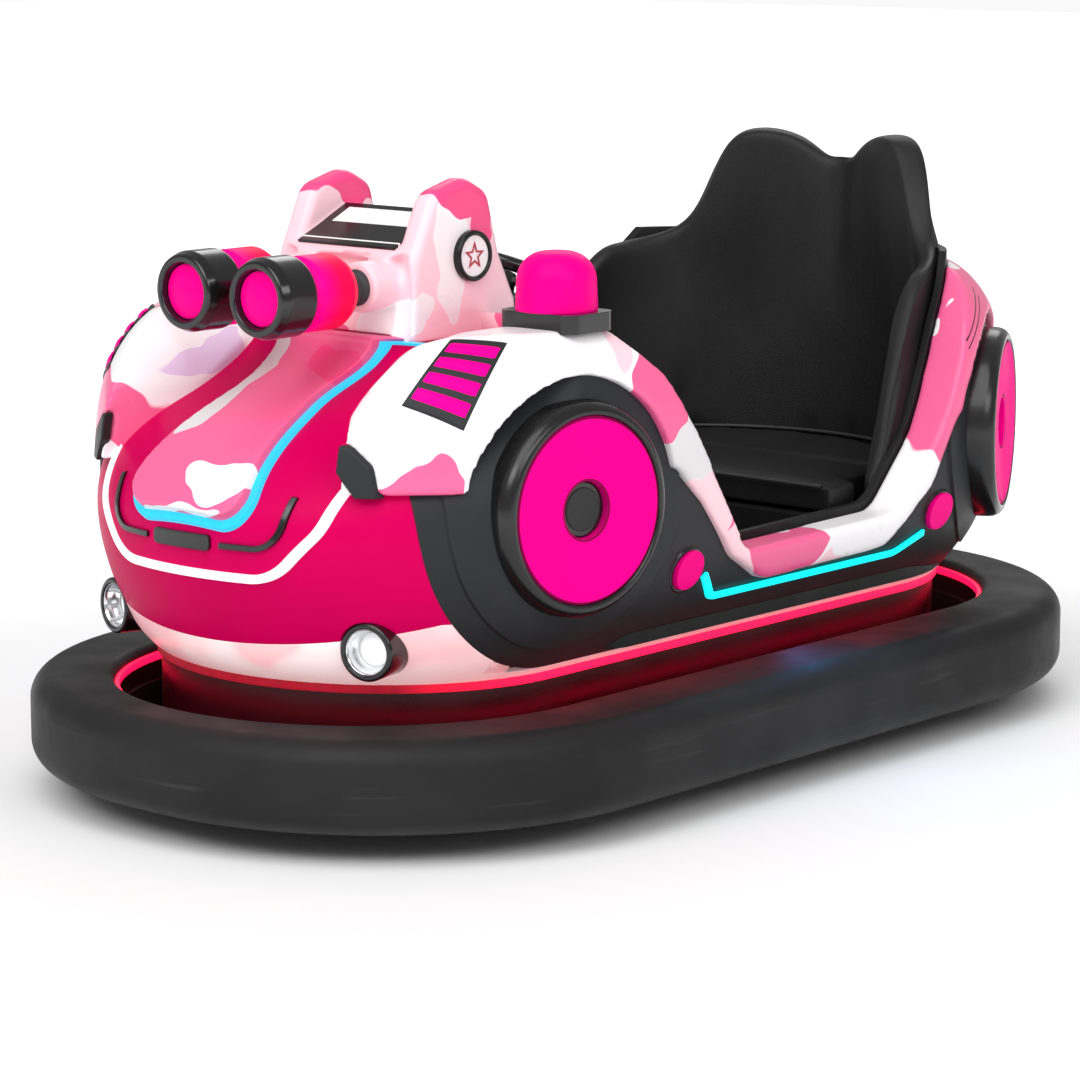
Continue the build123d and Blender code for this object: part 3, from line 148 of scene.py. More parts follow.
# %% A helper for finishes
class Finish:
    """A material being mixed: its node tree, its main shader and short ways to add nodes."""

    def __init__(self, name, colour, roughness, shine=0.5, edge=0.0):
        self.material = bpy.data.materials.new(name)
        self.material.use_nodes = True
        self.tree = self.material.node_tree
        self.shader = self.tree.nodes["Principled BSDF"]
        self.shader.inputs["Base Color"].default_value = (*colour, 1.0)
        self.shader.inputs["Roughness"].default_value = roughness
        self.shader.inputs["Specular IOR Level"].default_value = shine
        self.place = self.node("ShaderNodeTexCoord").outputs["Object"]
        self.base_normal = None
        if edge:
            self.base_normal = self.node("ShaderNodeBevel", {"Radius": edge}, samples=4).outputs[0]
            self.feed(self.shader.inputs["Normal"], self.base_normal)

    def node(self, kind, inputs=None, **settings):
        made = self.tree.nodes.new(kind)
        for key, value in settings.items():
            setattr(made, key, value)
        for socket, value in (inputs or {}).items():
            self.feed(made.inputs[socket], value)
        return made

    def feed(self, socket, value):
        if isinstance(value, bpy.types.NodeSocket):
            self.tree.links.new(value, socket)
        else:
            socket.default_value = value

    def math(self, operation, a, b=0.0):
        return self.node("ShaderNodeMath", {0: a, 1: b}, operation=operation).outputs[0]

    def vector(self, operation, a, b=(0.0, 0.0, 0.0)):
        made = self.node("ShaderNodeVectorMath", {0: a, 1: b}, operation=operation)
        return made.outputs["Value" if operation == "LENGTH" else 0]

    def hypot(self, a, b):
        """Distance from two distances at right angles."""
        squares = self.math("MULTIPLY", a, a), self.math("MULTIPLY", b, b)
        return self.math("SQRT", self.math("ADD", *squares))

    def noise(self, scale, detail=3.0, out="Fac", where=None):
        inputs = {"Vector": where or self.place, "Scale": scale, "Detail": detail}
        return self.node("ShaderNodeTexNoise", inputs).outputs[out]

    def span(self, value, low, high, to_low=0.0, to_high=1.0):
        inputs = {0: value, 1: low, 2: high, 3: to_low, 4: to_high}
        return self.node("ShaderNodeMapRange", inputs).outputs[0]

    def mix(self, share, low, high):
        inputs = {0: share, 6: rgba(low), 7: rgba(high)}
        return self.node("ShaderNodeMix", inputs, data_type="RGBA").outputs[2]

    def axes(self):
        made = self.node("ShaderNodeSeparateXYZ", {0: self.place})
        return made.outputs[0], made.outputs[1], made.outputs[2]

    def colour(self, value):
        self.feed(self.shader.inputs["Base Color"], value)

    def cloudy(self, scale, low, high, edge=0.35):
        """Colour that drifts between two tones in soft clouds."""
        self.colour(self.mix(self.span(self.noise(scale), edge, 1 - edge), low, high))

    def rough(self, low, high, scale=9.0):
        """Roughness that wanders between two values, as handling and dust leave it."""
        value = self.span(self.noise(scale), 0.3, 0.7, low, high)
        self.feed(self.shader.inputs["Roughness"], value)

    def bump(self, height, distance, strength=1.0, under=None):
        """Relief in the surface; one relief can lie over another."""
        inputs = {"Height": height, "Distance": distance, "Strength": strength}
        under = under or self.base_normal
        if under is not None:
            inputs["Normal"] = under
        made = self.node("ShaderNodeBump", inputs).outputs[0]
        self.feed(self.shader.inputs["Normal"], made)
        return made

    def coat(self, weight, roughness):
        self.shader.inputs["Coat Weight"].default_value = weight
        self.shader.inputs["Coat Roughness"].default_value = roughness

    def glow(self, colour, strength):
        self.feed(self.shader.inputs["Emission Color"], rgba(colour))
        self.feed(self.shader.inputs["Emission Strength"], strength)


def rgba(value):
    """A plain colour with its alpha, or the socket as it is."""
    return value if isinstance(value, bpy.types.NodeSocket) else (*value, 1.0)


def tint(hex_text):
    """Linear colour of a web colour such as ff0096."""
    parts = [int(hex_text[i:i + 2], 16) / 255 for i in (0, 2, 4)]
    return tuple(p / 12.92 if p <= 0.04045 else ((p + 0.055) / 1.055) ** 2.4 for p in parts)


# %% [markdown]
# Plain moulded colours: gel coat on the shell, satin plastic on small trim. Gel coat has a very
# fine orange peel under a clear coat. Satin plastic has a grain like fine leather. The shine is
# low on dark pieces, so that they stay black beside white paper.

# %% Gel coat and moulded plastic
EDGE = 0.003


def gel_coat(name, hex_text, roughness=0.28, drift=0.06, shine=0.3, coat=0.25):
    finish = Finish(name, tint(hex_text), roughness, shine, EDGE)
    base = tint(hex_text)
    darker = tuple(c * (1 - 2 * drift) for c in base)
    finish.cloudy(2.2, darker, base)
    finish.rough(roughness - 0.05, roughness + 0.07)
    finish.bump(finish.noise(420.0, 2.0), 0.0002, 0.25)
    finish.coat(coat, 0.12)
    return finish


def moulded(name, hex_text, roughness=0.5, grain=700.0, depth=0.0004, shine=0.25):
    finish = Finish(name, tint(hex_text), roughness, shine, EDGE)
    base = tint(hex_text)
    lighter = tuple(min(1.0, c * 1.18 + 0.002) for c in base)
    finish.cloudy(3.0, base, lighter)
    finish.rough(roughness - 0.06, roughness + 0.08)
    finish.bump(finish.noise(grain, 2.0), depth, 0.35)
    return finish


def light_strip(name, hex_text, strength):
    """Milky tube with a light inside: nearly all of its colour is its own."""
    base = tint(hex_text)
    finish = Finish(name, base, 0.35, 0.3, 0.002)
    dim, lit = ([c * share for c in base] for share in (0.2, 0.3))
    finish.cloudy(60.0, dim, lit, 0.3)
    finish.glow(base, strength)
    finish.bump(finish.noise(300.0, 1.0), 0.0002, 0.2)
    return finish


crimson = gel_coat("crimson_gel_coat", "cb0054", 0.36, 0.08, 0.03, 0.0)
# painted light: the nose panel is no lamp, and this glow brightens its crimson
crimson.glow(tint("cb0054"), 0.08)
magenta = moulded("magenta_plastic", "f80088", 0.5, 500.0, 0.0003, 0.02)
# painted light: the louvre slats are no lamp, and this glow keeps their magenta bright
magenta.glow(tint("fb008a"), 0.1)
magenta_gloss = gel_coat("magenta_lens_plastic", "f60084", 0.38, 0.03, 0.04, 0.0)
magenta_gloss.glow(tint("fb0088"), 0.1)
panel_black = moulded("panel_black_plastic", "262729", 0.42, 600.0, 0.0004, 0.2)
gloss_black = gel_coat("gloss_black_plastic", "101011", 0.2, 0.03, 0.4, 0.35)
dark_grey = moulded("dark_grey_paint", "3a3b3d", 0.4)
tub_plastic = moulded("tub_plastic", "161617", 0.5, 380.0, 0.0006)
# painted light: the collar's dark red is the red glow of the strip above it, painted into its
# colour
collar_plastic = moulded("collar_plastic", "2a0006", 0.3, 500.0, 0.0004, 0.5)
steel = moulded("frame_paint", "1a1a1c", 0.42)
tread = moulded("road_tread", "1b1b1b", 0.8, 300.0, 0.001, 0.15)
cyan_strip = light_strip("cyan_strip", "2ccdf6", 0.95)
sill_strip = light_strip("sill_strip", "0af0f2", 1.3)
white_strip = light_strip("white_strip", "fff4fa", 0.95)
red_strip = light_strip("red_strip", "ff0c3c", 2.6)

# The strip under the shell is bright along the sides and nearly dark round the nose.
GLOW_DARK, GLOW_FULL, GLOW_LEAST, GLOW_MOST = -0.74, -0.52, 0.2, 2.7
underglow = light_strip("underglow_strip", "ff0c3c", GLOW_MOST)
_, along, _ = underglow.axes()
underglow.glow(tint("ff0c3c"), underglow.span(along, GLOW_DARK, GLOW_FULL, GLOW_LEAST, GLOW_MOST))

# The lens collars of the cannons turn from magenta to red towards the car.
COLLAR_FROM, COLLAR_TO = -0.752, -0.712
cannon_collar = gel_coat("cannon_collar_plastic", "fb0088", 0.38, 0.03, 0.05, 0.0)
_, along, _ = cannon_collar.axes()
towards_car = cannon_collar.span(along, COLLAR_FROM, COLLAR_TO)
collar_tone = cannon_collar.mix(towards_car, tint("fb0088"), tint("fb0a4c"))
cannon_collar.colour(collar_tone)
# painted light: the collars are no lamp, yet they glow in their own tone
cannon_collar.glow(collar_tone, 0.14)
print("plain finishes:", len(bpy.data.materials))

# %% [markdown]
# Ring rubber. The bumper's tube is satin rubber with fine pores. Its outer side rubs along the
# arena's rail and the other cars, so it carries long light scuffs there, and dust settles on its
# lowest edge. Noise that is stretched along the ring gives the scuffs.

# %% Ring rubber
RUB_LOW, RUB_HIGH, RUB_FADE = 0.085, 0.165, 0.02
DUST_TOP, DUST_FULL = 0.075, 0.05

ring_rubber = Finish("ring_rubber", tint("1f1f20"), 0.5, 0.16)
_, _, height = ring_rubber.axes()
cloudy = ring_rubber.span(ring_rubber.noise(3.0), 0.35, 0.65)
rubber = ring_rubber.mix(cloudy, tint("1b1b1c"), tint("262627"))
above = ring_rubber.span(height, RUB_LOW, RUB_LOW + RUB_FADE)
below = ring_rubber.span(height, RUB_HIGH, RUB_HIGH - RUB_FADE)
stretched = ring_rubber.vector("MULTIPLY", ring_rubber.place, (1.0, 1.0, 22.0))
scuffs = ring_rubber.span(ring_rubber.noise(4.5, 8.0, where=stretched), 0.62, 0.72, 0.0, 0.35)
scuffs = ring_rubber.math("MULTIPLY", scuffs, ring_rubber.math("MULTIPLY", above, below))
rubber = ring_rubber.mix(scuffs, rubber, tint("4b4a4a"))
dust = ring_rubber.span(height, DUST_TOP, DUST_FULL, 0.0, 0.5)
ring_rubber.colour(ring_rubber.mix(dust, rubber, tint("3d3b39")))
ring_rubber.rough(0.42, 0.6)
pores = ring_rubber.bump(ring_rubber.noise(240.0, 3.0), 0.0008, 0.3)
ring_rubber.bump(ring_rubber.noise(9.0, 2.0), 0.003, 0.15, pores)
print("ring rubber mixed")

# %% [markdown]
# Camouflage. Real camouflage is three or four flat tones with soft, wandering borders. Noise
# that is cut at levels gives such patches where nothing special is wanted. Over them lie listed
# patches: each is a stretched ball in the car, and whatever surface passes through the ball
# takes its tone. A second noise shifts the surface a little first, so no border is round.

# %% Camouflage
WHITE = "f8f5f7"
# a grey white that is painted shade on white camouflage
PAINTED_SHADE = "dedadc"
PALE = "ffd2dc"
PINK = "f26496"
DEEP = "f54a88"
LILAC = "e6d2ee"
WANDER = 0.13
# centre x, y, z; reach x, y, z; tone. A later patch lies over an earlier one.
BODY_PATCHES = (
    # left fender
    ((0.36, -0.62, 0.66), (0.27, 0.36, 0.27), WHITE),
    ((0.345, -0.790, 0.545), (0.075, 0.056, 0.058), PINK),
    ((0.262, -0.770, 0.665), (0.030, 0.070, 0.050), PALE),
    ((0.205, -0.450, 0.775), (0.075, 0.130, 0.045), PALE),
    ((0.225, -0.430, 0.785), (0.050, 0.075, 0.030), PINK),
    ((0.185, -0.555, 0.765), (0.050, 0.045, 0.025), PINK),
    ((0.480, -0.335, 0.670), (0.090, 0.060, 0.078), PINK),
    ((0.430, -0.405, 0.750), (0.065, 0.026, 0.045), PALE),
    # painted shade low on the left fender, behind the front wheel
    ((0.484, -0.265, 0.585), (0.080, 0.052, 0.050), PAINTED_SHADE),
    ((0.480, -0.220, 0.490), (0.080, 0.072, 0.064), PALE),
    # left sill
    ((0.470, -0.070, 0.400), (0.080, 0.150, 0.070), PALE),
    ((0.470, 0.000, 0.385), (0.080, 0.110, 0.056), PINK),
    ((0.470, 0.235, 0.410), (0.090, 0.145, 0.090), WHITE),
    # left rear fender
    ((0.430, 0.640, 0.640), (0.140, 0.300, 0.230), PINK),
    ((0.455, 0.325, 0.450), (0.080, 0.085, 0.085), WHITE),
    ((0.408, 0.495, 0.745), (0.034, 0.034, 0.045), WHITE),
    ((0.350, 0.610, 0.800), (0.050, 0.040, 0.030), WHITE),
    # right fender
    ((-0.26, -0.74, 0.67), (0.14, 0.22, 0.17), WHITE),
    ((-0.330, -0.800, 0.620), (0.110, 0.110, 0.080), PINK),
    ((-0.215, -0.690, 0.715), (0.026, 0.110, 0.050), LILAC),
)
HOOD_PATCHES = (
    ((0.000, -0.780, 0.640), (0.300, 0.300, 0.300), PINK),
    # painted shadow under the left cannon
    ((0.060, -0.660, 0.730), (0.060, 0.050, 0.050), DEEP),
    # painted shade on the right side of the hood
    ((-0.085, -0.740, 0.690), (0.030, 0.150, 0.130), PAINTED_SHADE),
    ((0.072, -0.915, 0.566), (0.056, 0.058, 0.044), WHITE),
    ((0.000, -0.950, 0.510), (0.120, 0.040, 0.012), WHITE),
)
TURRET_PATCHES = (
    ((0.000, -0.480, 0.860), (0.300, 0.250, 0.200), PALE),
    ((0.155, -0.470, 0.880), (0.040, 0.052, 0.110), WHITE),
    ((0.110, -0.560, 0.800), (0.060, 0.060, 0.030), WHITE),
    ((0.140, -0.430, 0.990), (0.060, 0.085, 0.052), DEEP),
    ((-0.140, -0.430, 0.985), (0.060, 0.090, 0.050), DEEP),
    ((0.150, -0.392, 0.930), (0.040, 0.030, 0.045), DEEP),
    # painted shadow of the cannons on the turret's foot: this patch and the next
    ((-0.020, -0.610, 0.760), (0.130, 0.050, 0.030), PINK),
    ((0.060, -0.600, 0.755), (0.040, 0.040, 0.026), DEEP),
)
# Two short creases in each rear fender, drawn as lines of painted shade: start y and z, direction,
# length, half width
SHADED_CREASES = ((0.501, 0.666), (0.499, 0.680))
CREASE_WAY = (0.82, 0.572)
CREASE_LENGTH, CREASE_HALF, CREASE_FADE = 0.142, 0.0015, 0.002
LEVELS = ((0.44, PALE), (0.51, PINK), (0.60, WHITE))


def camouflage(name, patches):
    finish = Finish(name, tint(WHITE), 0.3, 0.3)
    drift = finish.vector("SUBTRACT", finish.noise(7.0, 2.0, out="Color"), (0.5, 0.5, 0.5))
    reach = finish.node("ShaderNodeVectorMath", {0: drift, 3: WANDER}, operation="SCALE").outputs[0]
    place = finish.vector("ADD", finish.place, reach)
    value = finish.noise(4.2, 0.4, where=place)
    colour = tint(WHITE)
    for level, tone in LEVELS:
        colour = finish.mix(finish.span(value, level, level + 0.004), colour, tint(tone))
    for centre, size, tone in patches:
        away = finish.vector("DIVIDE", finish.vector("SUBTRACT", place, centre), size)
        share = finish.span(finish.vector("LENGTH", away), 1.01, 0.99)
        colour = finish.mix(share, colour, tint(tone))
    finish.colour(colour)
    finish.rough(0.26, 0.38)
    finish.bump(finish.noise(420.0, 2.0), 0.0002, 0.25)
    finish.coat(0.15, 0.14)
    return finish, colour


def paint_crease_shade(finish, colour):
    """Painted shade: dark lines along the creases, found from the distance to each line in side
    view.
    """
    _, along, height = finish.axes()
    for start_y, start_z in SHADED_CREASES:
        from_y = finish.math("SUBTRACT", along, start_y)
        from_z = finish.math("SUBTRACT", height, start_z)
        run = finish.math("ADD", finish.math("MULTIPLY", from_y, CREASE_WAY[0]),
                          finish.math("MULTIPLY", from_z, CREASE_WAY[1]))
        off = finish.math("ABSOLUTE", finish.math(
            "SUBTRACT", finish.math("MULTIPLY", from_y, CREASE_WAY[1]),
            finish.math("MULTIPLY", from_z, CREASE_WAY[0])))
        share = finish.span(off, CREASE_HALF + 0.0004, CREASE_HALF)
        for end, inside in ((0.0, CREASE_FADE), (CREASE_LENGTH, CREASE_LENGTH - CREASE_FADE)):
            share = finish.math("MULTIPLY", share, finish.span(run, end, inside))
        colour = finish.mix(share, colour, tint("4a2433"))
    finish.colour(colour)


camo, camo_colour = camouflage("pink_camouflage", BODY_PATCHES)
paint_crease_shade(camo, camo_colour)
hood_camo, _ = camouflage("hood_camouflage", HOOD_PATCHES)
turret_camo, _ = camouflage("turret_camouflage", TURRET_PATCHES)
print("camouflage patches:", len(BODY_PATCHES) + len(HOOD_PATCHES) + len(TURRET_PATCHES))

# %% [markdown]
# The pale band round the foot of the nose fades from pink at its sides to near white at the
# middle, where most light falls on it: that near white is a painted highlight. The band also
# glows a little, which is painted light that lifts it out of its shade.

# %% Pale band
# painted highlight: its centre across the car, the distance where it has faded and where it is full
BAND_HIGHLIGHT_X, BAND_HIGHLIGHT_FADE, BAND_HIGHLIGHT_FULL = 0.12, 0.34, 0.1
pale_band = Finish("pale_band_gel_coat", tint("fbc6c8"), 0.32, 0.25, EDGE)
across, _, _ = pale_band.axes()
from_highlight = pale_band.math("ABSOLUTE", pale_band.math("SUBTRACT", across, BAND_HIGHLIGHT_X))
painted_highlight_share = pale_band.span(from_highlight, BAND_HIGHLIGHT_FADE, BAND_HIGHLIGHT_FULL)
blotches = pale_band.span(pale_band.noise(7.0, 1.0), 0.45, 0.55, 0.3, 1.0)
painted_highlight_share = pale_band.math("MULTIPLY", painted_highlight_share, blotches)
band_tone_with_highlight = pale_band.mix(painted_highlight_share, tint("ffc4c9"), tint("fff5f4"))
pale_band.colour(band_tone_with_highlight)
pale_band.rough(0.26, 0.4)
# painted light: the band is no lamp, and this glow lifts it out of its shade
pale_band.glow(band_tone_with_highlight, 0.26)
pale_band.bump(pale_band.noise(420.0, 2.0), 0.0002, 0.25)
pale_band.coat(0.2, 0.12)
print("pale band mixed")

# %% [markdown]
# Three finishes carry a drawing. The visor is black glass with a white band and a thin line
# across it, each round side plate is white inside a black rim, and each wheel disc has a dark
# line where it meets its tyre and its hub. The drawings come from the surface's own place in
# the car, so they need no picture.

# %% Visor, side plates and wheel discs
BAND_FRONT, BAND_BACK, BAND_HALF = -0.505, -0.463, 0.086
LINE_FRONT, LINE_BACK = -0.553, -0.549
CRISP = 0.0006
STAR_Y, STAR_Z = -0.433, 0.880
RIM_R = 0.0325

visor = Finish("visor_glass", tint("08080a"), 0.16, 0.4, 0.002)
across, along, _ = visor.axes()
band, line = (visor.math("MULTIPLY", visor.span(along, front, front + CRISP),
                         visor.span(along, back, back - CRISP))
              for front, back in ((BAND_FRONT, BAND_BACK), (LINE_FRONT, LINE_BACK)))
inside = visor.span(visor.math("ABSOLUTE", across), BAND_HALF + CRISP, BAND_HALF)
band = visor.math("MULTIPLY", band, inside)
visor.colour(visor.mix(visor.math("MAXIMUM", band, line), tint("08080a"), tint("fbfbfb")))
visor.rough(0.12, 0.24)
visor.bump(visor.noise(300.0, 1.0), 0.0001, 0.2)

side_plate = Finish("side_plate_enamel", tint("f4f4f5"), 0.25, 0.35, 0.0015)
_, along, height = side_plate.axes()
from_centre = side_plate.hypot(side_plate.math("SUBTRACT", along, STAR_Y),
                               side_plate.math("SUBTRACT", height, STAR_Z))
rim = side_plate.span(from_centre, RIM_R, RIM_R + 0.0005)
side_plate.colour(side_plate.mix(rim, tint("f6f5f6"), tint("121213")))
side_plate.rough(0.2, 0.3)
side_plate.bump(side_plate.noise(350.0, 1.0), 0.0001, 0.2)

# wheel centre x and y, turn towards the tail in degrees; all four lie at one height
WHEELS = ((0.450, -0.522, -7.5), (0.394, 0.667, 27.0))
WHEEL_Z = 0.515
DISC_EDGE, HUB_EDGE, LINE_HALF = 0.1445, 0.0475, 0.0028

wheel_disc = moulded("wheel_disc_plastic", "f80088", 0.5, 500.0, 0.0003, 0.02)
wheel_disc.glow(tint("fb008a"), 0.1)
across, along, height = wheel_disc.axes()
across = wheel_disc.math("ABSOLUTE", across)
up = wheel_disc.math("SUBTRACT", height, WHEEL_Z)
radius = None
for x, y, turn in WHEELS:
    angle = radians(turn)
    from_x = wheel_disc.math("MULTIPLY", wheel_disc.math("SUBTRACT", across, x), -sin(angle))
    from_y = wheel_disc.math("MULTIPLY", wheel_disc.math("SUBTRACT", along, y), cos(angle))
    here = wheel_disc.hypot(wheel_disc.math("ADD", from_x, from_y), up)
    radius = here if radius is None else wheel_disc.math("MINIMUM", radius, here)
rims = None
for edge in (DISC_EDGE, HUB_EDGE):
    away = wheel_disc.math("ABSOLUTE", wheel_disc.math("SUBTRACT", radius, edge))
    rim = wheel_disc.span(away, LINE_HALF, LINE_HALF * 0.4)
    rims = rim if rims is None else wheel_disc.math("MAXIMUM", rims, rim)
wheel_disc.colour(wheel_disc.mix(rims, tint("fb008a"), tint("6a0c38")))
print("drawn finishes: 3")

# %% [markdown]
# Leather for the seat. Its grain is small cells with creases between them, under broad, soft
# unevenness. Where hands and clothes rub, it gets smoother.

# %% Seat leather
leather = Finish("seat_leather", tint("1a1a1b"), 0.46, 0.3)
leather.cloudy(4.0, tint("151516"), tint("202021"))
leather.rough(0.38, 0.54, 5.0)
cells = leather.node("ShaderNodeTexVoronoi", {"Vector": leather.place, "Scale": 330.0},
                     feature="DISTANCE_TO_EDGE")
grain = leather.bump(leather.span(cells.outputs["Distance"], 0.0, 0.35), 0.0005, 0.5)
leather.bump(leather.noise(14.0, 3.0), 0.002, 0.25, grain)
print("leather mixed")

# %% [markdown]
# The rest of the small finishes: vinyl and mat rubber for the cockpit, a grey and a gloss for
# the dummy wheels, and silver, glass and enamel for lamps and stars. Then each CAD node that
# stays gets its finish, by name.

# %% Small finishes
piping_vinyl = moulded("piping_vinyl", "2c2c2e", 0.38, 600.0, 0.0003, 0.3)
rubber_mat = moulded("mat_rubber", "1a1a1b", 0.7, 200.0, 0.0008)
hub_grey = moulded("hub_grey_plastic", "2a2b2c", 0.45)
tyre_gloss = gel_coat("tyre_gloss_rubber", "131314", 0.24, 0.03, 0.4, 0.2)
silver = Finish("lamp_silver", tint("dcdde0"), 0.16)
silver.shader.inputs["Metallic"].default_value = 0.9
silver.cloudy(30.0, tint("cfd0d4"), tint("eeeef0"), 0.3)
silver.bump(silver.noise(120.0, 2.0), 0.0002, 0.15)
lamp_glass = gel_coat("lamp_glass", "f4f5f6", 0.12, 0.02, 0.5, 0.5)
lamp_glass.glow((1.0, 1.0, 1.0), 0.25)
star_red = gel_coat("star_red_enamel", "c4203c", 0.3)
print("finishes:", len(bpy.data.materials))

# %% Finishes on the nodes
for finish, names in (
    (ring_rubber, "bumper_ring"),
    (red_strip, "rim_light"),
    (underglow, "underglow"),
    (collar_plastic, "base_collar"),
    (camo, "fender_left fender_right sill_left sill_right rear_fender_left rear_fender_right"
           " tail_deck"),
    (hood_camo, "hood"),
    (turret_camo, "turret"),
    (panel_black, "side_panel_left side_panel_right tail_panel"),
    (crimson, "nose_panel"),
    (pale_band, "lower_band"),
    (cyan_strip, "hood_light"),
    (sill_strip, "sill_lights"),
    (white_strip, "nose_light"),
    (gloss_black, "nose_slits nose_plate lamp_bezels wheel_tyres cannon_muzzles beacon_base"
                  " fender_tips charge_socket steering_wheel wheel_hubs louvres"),
    (visor, "visor_screen"),
    (side_plate, "star_discs"),
    (lamp_glass, "lamp_lenses"),
    (magenta, "louvre_slats"),
    (wheel_disc, "wheel_discs"),
    (cannon_collar, "cannon_collars"),
    (magenta_gloss, "cannon_lenses beacon_dome side_lamps"),
    (dark_grey, "cannon_barrels battery"),
    (tub_plastic, "tub dash"),
    (leather, "seat_back seat_cushion"),
    (steel, "chassis drive_fork pedal"),
    (tread, "drive_wheel rear_wheel_left rear_wheel_right"),
):
    for name in names.split():
        nodes[name].data.materials.clear()
        nodes[name].data.materials.append(finish.material)
print("nodes dressed:", len(nodes))

# %% [markdown]
# New pieces. Helpers do the repeated work: one turns points and faces into a piece that rides on
# the car, one makes the faces between rows of points, and one lays a fine skin over CAD nodes.
# The skin is a voxel remesh, which joins the nodes into one moulding, and a smoothing that rounds
# its edges as a mould does.

# %% Helpers for pieces
def finish_piece(piece, finish, smooth=True):
    """Shading, one finish and a place on the car's body."""
    piece.data.materials.clear()
    piece.data.materials.append(finish.material)
    for polygon in piece.data.polygons:
        polygon.use_smooth = smooth
    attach(piece, "car")
    return piece


def show(name, mesh):
    """An object in the scene for a mesh."""
    piece = bpy.data.objects.new(name, mesh)
    bpy.context.scene.collection.objects.link(piece)
    return piece


def new_piece(name, points, faces, finish, slot_name, smooth=True):
    mesh = bpy.data.meshes.new(name)
    mesh.from_pydata([tuple(p) for p in points], [], faces)
    mesh.validate()
    return finish_piece(show(name, mesh), finish, smooth)


def wrapped(first, rows, steps):
    """Faces between rows of points; each row starts at its own number and goes round once."""
    starts = [first + row * steps for row in range(rows - 1)]
    rounds = [(step, (step + 1) % steps) for step in range(steps)]
    return [(start + a, start + b, start + steps + b, start + steps + a)
            for start in starts for a, b in rounds]


def copy_of(name, sources):
    """One new object with the faces of several CAD nodes, where they are in the car."""
    joined = bmesh.new()
    for source in sources:
        mesh = nodes[source].data.copy()
        mesh.transform(nodes[source].matrix_world)
        joined.from_mesh(mesh)
        bpy.data.meshes.remove(mesh)
    mesh = bpy.data.meshes.new(name)
    joined.to_mesh(mesh)
    joined.free()
    return show(name, mesh)


def work_in(piece):
    """Replaces the mesh by what its modifiers make of it."""
    graph = bpy.context.evaluated_depsgraph_get()
    made = bpy.data.meshes.new_from_object(piece.evaluated_get(graph))
    piece.modifiers.clear()
    old = piece.data
    piece.data = made
    bpy.data.meshes.remove(old)


def skin_over(piece, voxel, smoothing):
    remesh = piece.modifiers.new("remesh", "REMESH")
    remesh.mode = "VOXEL"
    remesh.voxel_size = voxel
    smooth = piece.modifiers.new("smooth", "SMOOTH")
    smooth.factor = 0.5
    smooth.iterations = smoothing
    work_in(piece)


# %% [markdown]
# The camouflage body is one glass-fibre moulding on each side, from the nose to the tail, with a
# deck between them. Fenders and sills are joined, and their edges are rounded. The right side is
# the left one mirrored. Turret, hood and the black fins at the fender tips get a skin too, with
# smaller roundings.

# %% Moulded body
SIDE_NODES = ("fender", "sill", "rear_fender")
BODY_VOXEL, BODY_SMOOTHING = 0.0052, 15
LOUVRE_OUT = Vector((0.621, -0.544, 0.563))
SLATS_IN = 0.004
TURRET_FRONT, FRONT_BACK = -0.575, 0.034
FRONT_LOW, FRONT_HIGH = 0.775, 0.800
CORNER_FROM, CORNER_TO = 0.118, 0.132


def mirror_image(name, piece):
    """The same piece on the other side of the car."""
    twin = bmesh.new()
    twin.from_mesh(piece.data)
    for vertex in twin.verts:
        vertex.co.x = -vertex.co.x
    bmesh.ops.reverse_faces(twin, faces=twin.faces)
    mesh = bpy.data.meshes.new(name)
    twin.to_mesh(mesh)
    twin.free()
    return show(name, mesh)


def fill_louvres(piece):
    """Closes the seat of the louvres, so that they can lie on one smooth surface."""
    filled = bmesh.new()
    filled.from_mesh(piece.data)
    right = []
    for source, inwards in (("louvres", 0.0), ("louvre_slats", SLATS_IN)):
        before = len(filled.verts)
        filled.from_mesh(nodes[source].data)
        for vertex in list(filled.verts)[before:]:
            vertex.co -= LOUVRE_OUT * inwards
            if vertex.co.x < 0:
                right.append(vertex)
    bmesh.ops.delete(filled, geom=right, context="VERTS")
    filled.to_mesh(piece.data)
    filled.free()


left_names = [node + "_left" for node in SIDE_NODES]
left_skin = copy_of("body_moulding_left", left_names)
fill_louvres(left_skin)
skin_over(left_skin, BODY_VOXEL, BODY_SMOOTHING)
right_skin = mirror_image("body_moulding_right", left_skin)
finish_piece(left_skin, camo)
finish_piece(right_skin, camo)
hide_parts(*left_names)
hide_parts(*[node + "_right" for node in SIDE_NODES])


def set_front_back(piece):
    """Moves the turret's face and its two sockets back, down to a foot that stays."""
    for vertex in piece.data.vertices:
        if vertex.co.y < TURRET_FRONT:
            share = max((vertex.co.z - FRONT_LOW) / (FRONT_HIGH - FRONT_LOW),
                        (abs(vertex.co.x) - CORNER_FROM) / (CORNER_TO - CORNER_FROM))
            vertex.co.y += FRONT_BACK * min(max(share, 0.0), 1.0)


for name, source, finish, slot_name, voxel, smoothing in (
    ("deck_moulding", "tail_deck", camo, "camo", 0.0052, 15),
    ("turret_moulding", "turret", turret_camo, "camo", 0.004, 5),
    ("hood_moulding", "hood", hood_camo, "camo", 0.0035, 4),
    ("tip_fins", "fender_tips", panel_black, "black_gloss", 0.0020, 16),
):
    skin = copy_of(name, [source])
    if source == "turret":
        set_front_back(skin)
    skin_over(skin, voxel, smoothing)
    finish_piece(skin, finish)
    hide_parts(source)
    print(name, "faces:", len(skin.data.polygons))
print("side moulding faces:", len(left_skin.data.polygons))

# %% [markdown]
# The seat back is one padded wall that goes round the riders. Its top has two lobes with a dip
# between them, and it falls away to low arms at both sides. The grid below follows the plan of
# the cockpit. Each column goes up the inner face, over a soft top and down the outer face.

